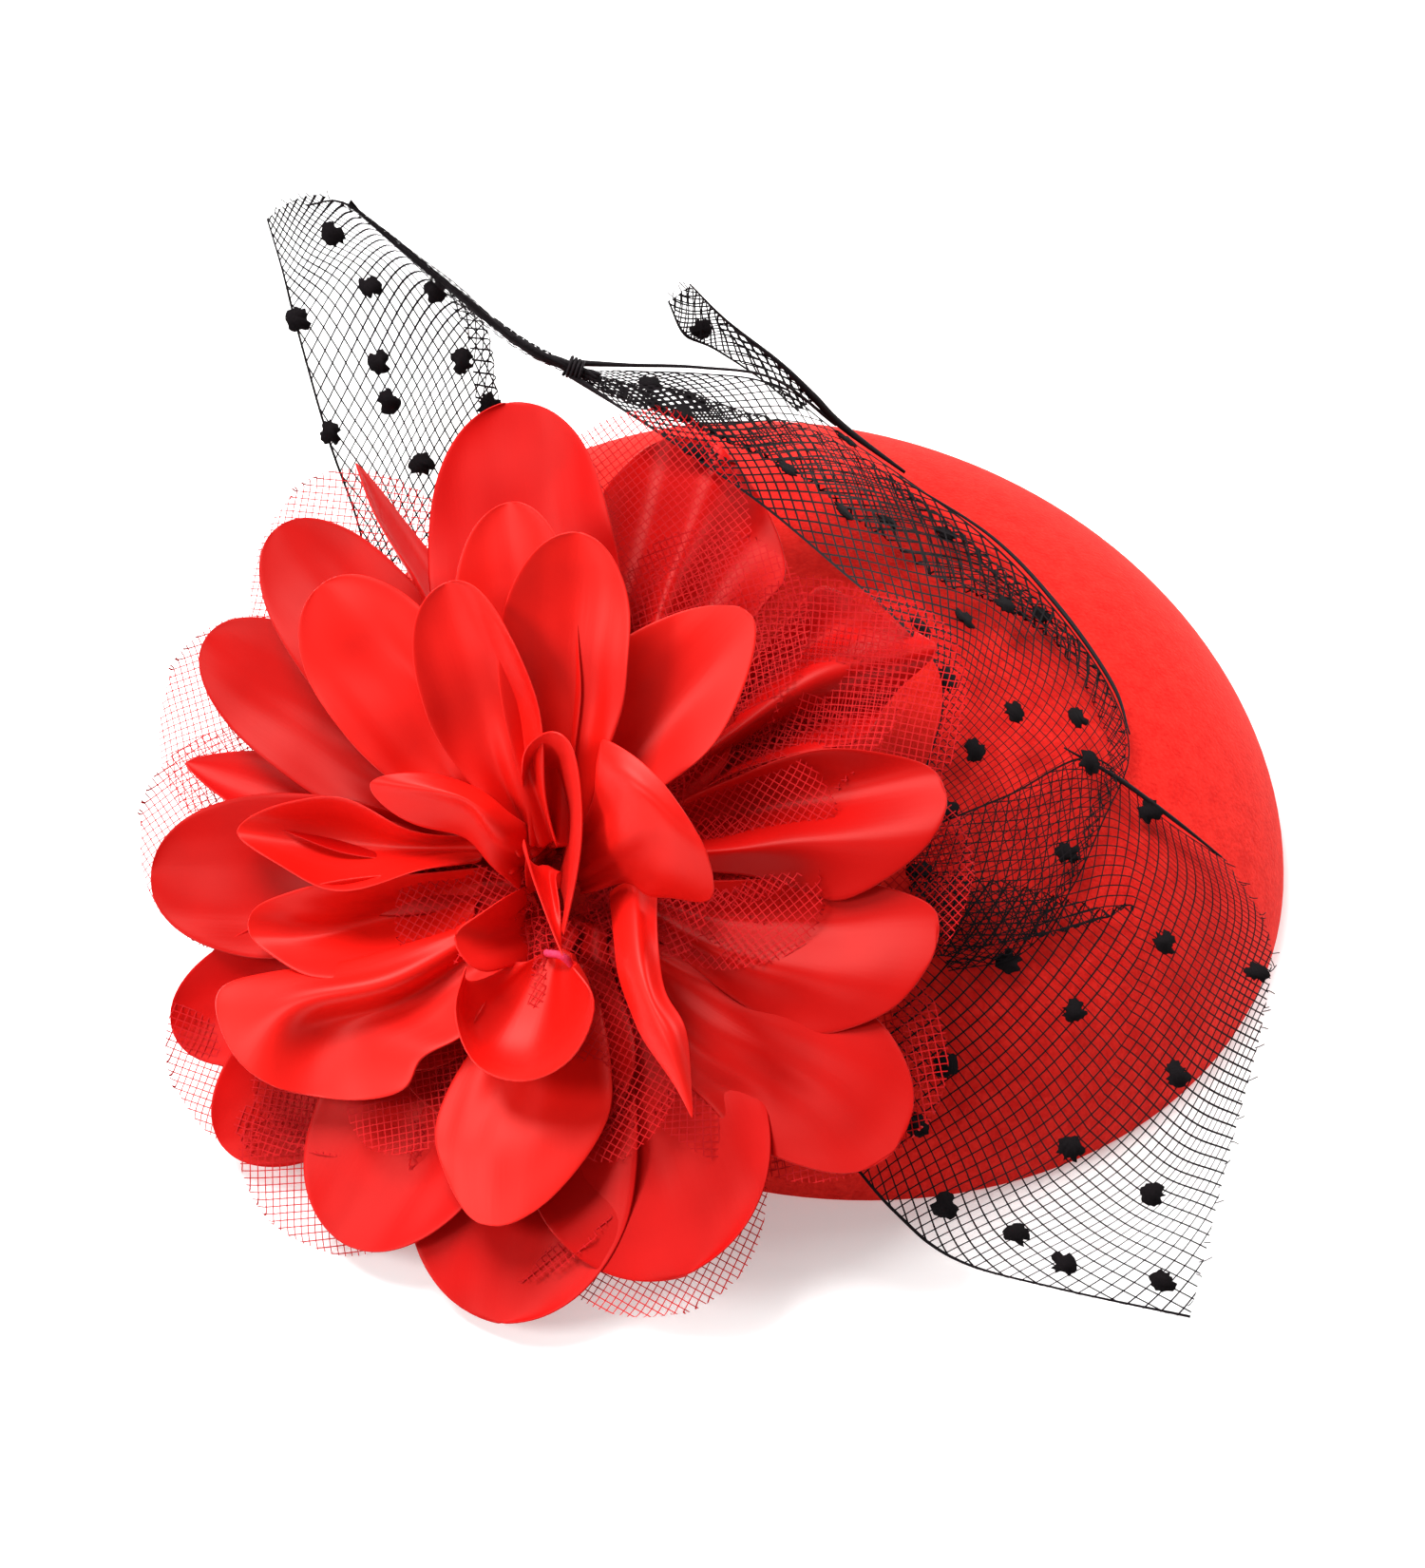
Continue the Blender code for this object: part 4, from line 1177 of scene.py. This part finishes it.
# %% [markdown]
# ## Flocked dots
#
# The dots are short black fibres glued to the net in rounds about 4 mm across. The glue creeps
# along the threads and some fibres are lost, so no outline is clean. Each dot is a small disc with
# a ragged edge, laid on the net and given a little thickness.

# %% Dot shape
DOT_RADIUS_MM = 1.85
DOT_LIFT_MM = 0.25
DOT_THICKNESS_MM = 0.16
DOT_CORNERS = 26


def ragged_circle(bm, chance, middle, ahead, side):
    """A filled circle with a worn outline and three bites out of it."""
    made = bmesh.ops.create_circle(bm, cap_ends=True, segments=DOT_CORNERS, radius=1)
    squash = chance.uniform(0.8, 1.0)
    bites = [chance.uniform(0, math.tau) for _ in range(3)]
    for vert in made["verts"]:
        turn = math.atan2(vert.co.y, vert.co.x)
        ragged = DOT_RADIUS_MM * (1 + chance.uniform(-0.16, 0.09))
        if max(math.cos(turn - bite) for bite in bites) > 0.97:
            ragged *= 0.68
        vert.co = (middle + (ahead * vert.co.x + side * vert.co.y * squash) * ragged) * MM


def dots(name, length, places):
    """One piece with a ragged dot at each (along, across) share of the flat net."""
    chance = random.Random(name)
    surface = length.surface
    bm = bmesh.new()
    for along, across in places:
        place, lift = length.fold(along, across)
        middle = surface.point(along, place, lift + DOT_LIFT_MM)
        ahead = surface.point(min(along + 0.02, 1), place) - surface.point(along, place)
        normal = Vector(surface.read(surface.normal, along, place).tolist())
        side = normal.cross(ahead).normalized()
        ragged_circle(bm, chance, middle, side.cross(normal).normalized(), side)
    made = piece(name, bm, flock, solid=False)
    made.modifiers.new("flock height", "SOLIDIFY").thickness = DOT_THICKNESS_MM * MM
    return made


print("dots", 2 * DOT_RADIUS_MM, "mm across")

# %% [markdown]
# The rows of a real dotted net are regular, but here its folds and gathers move them about and hide
# many, so each dot that shows has a place of its own.

# %% Dots in place
DOT_PLACES = {
    "veil_sail": [(0.8, 0.39), (0.58, 0.37), (0.55, 0.72), (0.61, 0.02), (0.45, 0.3), (0.35, 0.71),
                  (0.37, 0.3), (0.4, 0.02), (0.22, 0.94), (0.18, 0.43)],
    "veil_band": [(0.32, 0.84), (0.36, 0.23), (0.39, 0.03), (0.46, 0.19), (0.48, 0.98), (0.51, 0.19),
                  (0.54, 0.76), (0.57, 0.54), (0.64, 0.47), (0.65, 0.91), (0.63, 0.26), (0.61, 0.06),
                  (0.67, 0.04), (0.73, 0.36), (0.77, 0.2), (0.74, 0.62), (0.85, 0.16), (0.78, 0.68)],
    "veil_tail": [(0.69, 0.83)],
    "veil_fan": [(0.68, 0.03), (0.02, 0.09), (0.35, 0.16), (0.58, 0.37), (0.93, 0.37), (0.21, 0.54),
                 (0.37, 0.56), (0.14, 0.77), (0.68, 0.59), (0.15, 0.88), (0.49, 0.75), (0.77, 0.79),
                 (0.35, 0.94), (0.56, 0.92), (0.72, 0.95), (0.93, 0.95)],
}
for name, places in DOT_PLACES.items():
    length = VEIL[name]
    made = dots(name.replace("veil", "dots"), length, places)
    print(name, round(length.surface.length), "mm long,", round(length.cut), "mm wide,",
          len(places), "dots")

# %% [markdown]
# ## Tubes
#
# Rope, thread, rolled edges and spring wire are all tubes. A ring is extruded from place to place
# along a smooth path, turned to face along it, and capped at both ends.

# %% Tube
def tube(bm, path, radii, sides=8):
    """A closed tube through the points of a path, in millimetres."""
    path = [Vector(point) for point in path]
    ring = bmesh.ops.create_circle(bm, segments=sides, radius=1)["verts"]
    corners = {vert: vert.co.copy() for vert in ring}
    first = edges = list({edge for vert in ring for edge in vert.link_edges})
    for step, (point, radius) in enumerate(zip(path, radii)):
        if step:
            out = bmesh.ops.extrude_edge_only(bm, edges=edges)["geom"]
            edges = [item for item in out if isinstance(item, bmesh.types.BMEdge)
                     and not item.link_faces[1:]]
            made = [item for item in out if isinstance(item, bmesh.types.BMVert)]
            corners = {vert: next(corners[edge.other_vert(vert)] for edge in vert.link_edges
                                  if edge.other_vert(vert) in corners) for vert in made}
        ahead = path[min(step + 1, len(path) - 1)] - path[max(step - 1, 0)]
        turn = ahead.to_track_quat("Z", "Y").to_matrix()
        for vert, corner in corners.items():
            vert.co = (point + turn @ corner * radius) * MM
    bmesh.ops.holes_fill(bm, edges=first + edges, sides=sides)


def smooth_tube(bm, points, radii, steps=40):
    """A tube on the smooth curve through some points, with a radius at even shares along it."""
    shares = np.linspace(0, len(radii) - 1, steps)
    tube(bm, smooth_through(points, steps), np.interp(shares, range(len(radii)), radii))


trial = bmesh.new()
smooth_tube(trial, ((0, 0, 0), (10, 0, 0)), (1, 1))
print("a tube has", len(trial.faces), "faces")
trial.free()

# %% [markdown]
# ## Rolled edges and loose ends
#
# Net that is pulled along its edge rolls up there, and shows as a dark line that swells and thins.
# Raw cut edges shed short curled ends of thread, which soften an outline that would otherwise be
# too clean.

# %% Rolled edges
# Points along each roll, and its half thickness at even shares.
ROLLS = (
    (((15, 47, 56.8), (17.5, 41.8, 52.4), (22, 35, 46.8), (25.2, 31, 41.4), (28.2, 28, 36.4),
      on_hat(32.5, 19, 3.4)), (0.12, 0.2, 0.35, 0.6, 0.55, 0.25)),
    ((on_hat(31, 20, 3), on_hat(34, 1, 3), on_hat(33, -15.5, 3), on_hat(30.5, -30, 3),
      on_hat(27, -38, 3)), (0.12, 0.25, 0.35, 0.3, 0.12)),
    ((on_hat(17, -36, 2.6), on_hat(21, -43, 2.4), on_hat(25, -50.5, 2.2), on_hat(29, -56, 2.2)),
     (0.12, 0.35, 0.3, 0.12)),
    (((-10.2, 39, 60.8), (-2.5, 37, 57.8), (7.5, 34, 54.3), (19, 32.5, 47.3), (27.5, 29, 36.6)),
     (0.5, 0.28, 0.22, 0.2, 0.3)),
    (((-11.5, 38, 60.3), (-8.5, 31, 58), (-6.5, 24, 57), (-4, 14.5, 55.5)), (0.5, 0.2, 0.15, 0.1)),
)


rolls = bmesh.new()
for points, radii in ROLLS:
    smooth_tube(rolls, points, radii)
made = piece("rolled_selvedges", rolls, black_thread)
print(len(ROLLS), "rolled edges", len(made.data.polygons), "faces")


# %% Loose ends
def loose_ends():
    """Cut threads that curl off the raw edges of the tail, the fan and the sail."""
    chance = random.Random("loose ends")
    bm = bmesh.new()
    for surface, count in ((tail, 7), (fan, 26), (sail, 9)):
        for number in range(count):
            across = (number + chance.random()) / count
            root = surface.point(0.99, across)
            out = (root - surface.point(0.94, across)).normalized()
            side = Vector((chance.uniform(-1, 1), chance.uniform(-1, 1), chance.uniform(-0.4, 1)))
            far = chance.uniform(0.5, 1.4)
            points = [root, root + out * far * 0.5 + side * 0.2, root + out * far + side * 0.7]
            tube(bm, smooth_through(points, 6), [0.07] * 6, sides=5)
    return piece("loose_threads", bm, black_thread)


print("loose ends", len(loose_ends().data.polygons), "faces")

# %% [markdown]
# ## Gathered net, thread and one stitch
#
# Between the sail and the band the strip is gathered to a rope as thick as a shoelace's tip. It is
# drawn as three lumpy strands wound together, which is how bunched net looks. It is bound where it
# opens into the band with four turns of black thread, and one pink stitch shows in the flower's
# heart.

# %% Rope
ROPE_STEPS = 40
ROPE_STRANDS = 3
STRAND_SHARE = 0.62             # a strand's radius as a share of the rope's
ROPE_PATH = ((-30, 73, 75.5), (-25.4, 70.3, 75.3), (-22, 62.6, 71), (-18.8, 54.5, 67.4),
             (-15.2, 45, 63.2), (-11, 38.8, 60.7), (-8, 35.5, 59.4))
ROPE_RADII = (0.12, 0.15, 0.26, 0.45, 0.6, 0.75, 0.65)


def gathered_rope():
    """Strands of bunched net, wound together."""
    path = smooth_through(ROPE_PATH, ROPE_STEPS)
    shares = np.linspace(0, len(ROPE_RADII) - 1, ROPE_STEPS)
    radii = np.interp(shares, range(len(ROPE_RADII)), ROPE_RADII)
    bm = bmesh.new()
    for strand in range(ROPE_STRANDS):
        wound = []
        lumps = []
        for step in range(ROPE_STEPS):
            turn = strand * math.tau / ROPE_STRANDS + step * 0.35
            out = Vector((math.cos(turn), 0.4 * math.sin(turn), math.sin(turn)))
            wound.append(Vector(path[step]) + out * radii[step] * 0.5)
            lumps.append(1 + 0.5 * noise.noise(Vector((step * 0.4, strand * 9, 0))))
        tube(bm, wound, radii * STRAND_SHARE * lumps)
    return piece("net_rope", bm, black_thread)


print("rope", len(gathered_rope().data.polygons), "faces")


# %% Binding
WRAP_CENTRE = Vector((-10.4, 38.1, 60.5))
WRAP_AXIS = Vector((5, -6, -2.6)).normalized()
WRAP_TURNS, WRAP_STEPS = 4, 72
WRAP_LENGTH, WRAP_RADIUS, WRAP_THREAD = 2.2, 1.35, 0.24


def thread_wrap():
    """Turns of thread laid round the rope where it opens into the band."""
    side = WRAP_AXIS.orthogonal().normalized()
    other = WRAP_AXIS.cross(side)
    path = []
    for step in range(WRAP_STEPS):
        share = step / (WRAP_STEPS - 1)
        turn = math.tau * WRAP_TURNS * share
        path.append(WRAP_CENTRE + WRAP_AXIS * WRAP_LENGTH * (share - 0.5)
                    + (side * math.cos(turn) + other * math.sin(turn)) * WRAP_RADIUS)
    bm = bmesh.new()
    tube(bm, path, [WRAP_THREAD] * WRAP_STEPS)
    return piece("thread_wrap", bm, black_thread, ["veil_twist_thread"])


print("binding", len(thread_wrap().data.polygons), "faces")


# %% Stitch
STITCH = ((0, -12, 7), (1.5, -13, 11), (3.5, -13.6, 12), (4.5, -14.6, 10.5), (4, -16, 7))
STITCH_STEPS = 16


def heart_stitch():
    """One stitch that stands up out of the flower's heart."""
    path = [FLOWER @ Vector(point) / MM for point in smooth_through(STITCH, STITCH_STEPS)]
    bm = bmesh.new()
    tube(bm, path, [0.5] * STITCH_STEPS)
    return piece("heart_stitch", bm, pink_thread, ["flower_knot"])


print("stitch", len(heart_stitch().data.polygons), "faces")

# %% [markdown]
# ## The clips' springs
#
# A torsion spring is wound on each clip's pin, with one leg under the fixed half and the other on
# the swinging half. When the clip is pressed, the wire's turns wind up evenly. Here the spring is
# one tube along a helix, from one leg to the other.

# %% Springs
COIL_RADIUS_MM = 1.2
WIRE_RADIUS_MM = 0.2
COIL_TURNS = 4.5
COIL_STEPS = 54


def clip_spring(side):
    """A spring on its pin, one tube from one leg to the other."""
    joints = frame["record"]["behaviour"]["joints"]
    pivot = next(Vector(j["pos_m"]) for j in joints if j["name"] == f"clip_{side}_hinge") / MM
    low, high = (Vector(corner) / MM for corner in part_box(f"clip_{side}_spring"))
    half = (high.y - low.y) / 2 - WIRE_RADIUS_MM
    leg = high.x - 0.1
    path = [Vector((leg, pivot.y - half, high.z - WIRE_RADIUS_MM))]
    for step in range(COIL_STEPS + 1):
        share = step / COIL_STEPS
        angle = share * COIL_TURNS * math.tau
        path.append(pivot + Vector((-COIL_RADIUS_MM * math.sin(angle), (2 * share - 1) * half,
                                    COIL_RADIUS_MM * math.cos(angle))))
    path.append(Vector((leg, pivot.y + half, low.z + WIRE_RADIUS_MM)))
    bm = bmesh.new()
    tube(bm, path, [WIRE_RADIUS_MM] * len(path))
    made = piece(f"spring_{side}", bm, plated_steel, [f"clip_{side}_spring"], body=None)
    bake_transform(made)
    return made


springs = [clip_spring(side) for side in ("front", "back")]
print("springs", [len(made.data.polygons) for made in springs], "faces")

# %% [markdown]
# ## Floor, light and camera
#
# The set is a sweep of pale paper, exposed so that it goes to white. A large softbox behind and
# above makes the petals' edges shine, and two smaller ones fill the sides. The paper also glows
# faintly: a real sweep is lit by its own lamps from below the frame, which keeps the ground white
# and softens the shadow under the flower without flattening it.

# %% Floor
FLOOR_HALF_SIZE = 4


def stage():
    """A sheet of paper under the object."""
    bm = bmesh.new()
    bmesh.ops.create_grid(bm, x_segments=1, y_segments=1, size=FLOOR_HALF_SIZE)
    mesh = bpy.data.meshes.new("floor")
    bm.to_mesh(mesh)
    bm.free()
    floor = bpy.data.objects.new("floor", mesh)
    bpy.context.scene.collection.objects.link(floor)
    paper, tree, shader = new_material("white_paper_sweep", Roughness=0.9, Emission_Strength=0.3)
    shader.inputs["Base Color"].default_value = linear("EEEEEE")
    shader.inputs["Emission Color"].default_value = linear("FFFAF8")
    mesh.materials.append(paper)


stage()
print("paper", 2 * FLOOR_HALF_SIZE, "m square")


# %% Lights
def softbox(name, place, aim, size, power):
    """A round softbox: where it stands, what it points at, its width in metres and its watts."""
    data = bpy.data.lights.new(name, "AREA")
    data.shape = "DISK"
    data.size = size
    data.energy = power
    lamp = bpy.data.objects.new(name, data)
    lamp.location = place
    lamp.rotation_euler = (Vector(aim) - Vector(place)).to_track_quat("-Z", "Y").to_euler()
    bpy.context.scene.collection.objects.link(lamp)


softbox("key_softbox", (-0.1, 0.5, 0.95), (0, 0, 0), 0.65, 18)
softbox("right_softbox", (1.0, 0.0, 0.6), (0, 0, 0.02), 0.4, 7)
softbox("left_softbox", (-0.85, 0.2, 0.6), (-0.03, 0, 0.03), 0.35, 6)
world = bpy.data.worlds.new("studio")
world.use_nodes = True
sky = world.node_tree.nodes["Background"].inputs
sky["Color"].default_value = (1, 1, 1, 1)
sky["Strength"].default_value = 0.38
bpy.context.scene.world = world
bpy.context.scene.view_settings.view_transform = "Standard"
bpy.context.scene.cycles.transparent_max_bounces = 48   # a sight line can cross many nets
print(len(bpy.data.lights), "softboxes")

# %% [markdown]
# ## The camera
#
# It looks down at 48 degrees from half a metre with a short telephoto lens, so the oval cap hardly
# tapers.

# %% Camera
CAMERA_ELEVATION = math.radians(48.1)
CAMERA_DISTANCE = 0.503
CAMERA_LENS = 80
CAMERA_SHIFT = (-0.0573, 0.0096)


def camera():
    """The camera, aimed at the middle of the cap's base and shifted to frame the object."""
    flat = math.cos(CAMERA_ELEVATION)
    away = Vector((math.sin(FRONT_VIEW_AZIMUTH) * flat, -math.cos(FRONT_VIEW_AZIMUTH) * flat,
                   math.sin(CAMERA_ELEVATION)))
    data = bpy.data.cameras.new("camera")
    data.lens = CAMERA_LENS
    data.shift_x, data.shift_y = CAMERA_SHIFT
    made = bpy.data.objects.new("camera", data)
    made.location = away * CAMERA_DISTANCE
    made.rotation_euler = away.to_track_quat("Z", "Y").to_euler()
    bpy.context.scene.collection.objects.link(made)
    bpy.context.scene.camera = made


camera()
print("camera at", [round(value, 2) for value in bpy.context.scene.camera.location], "m")
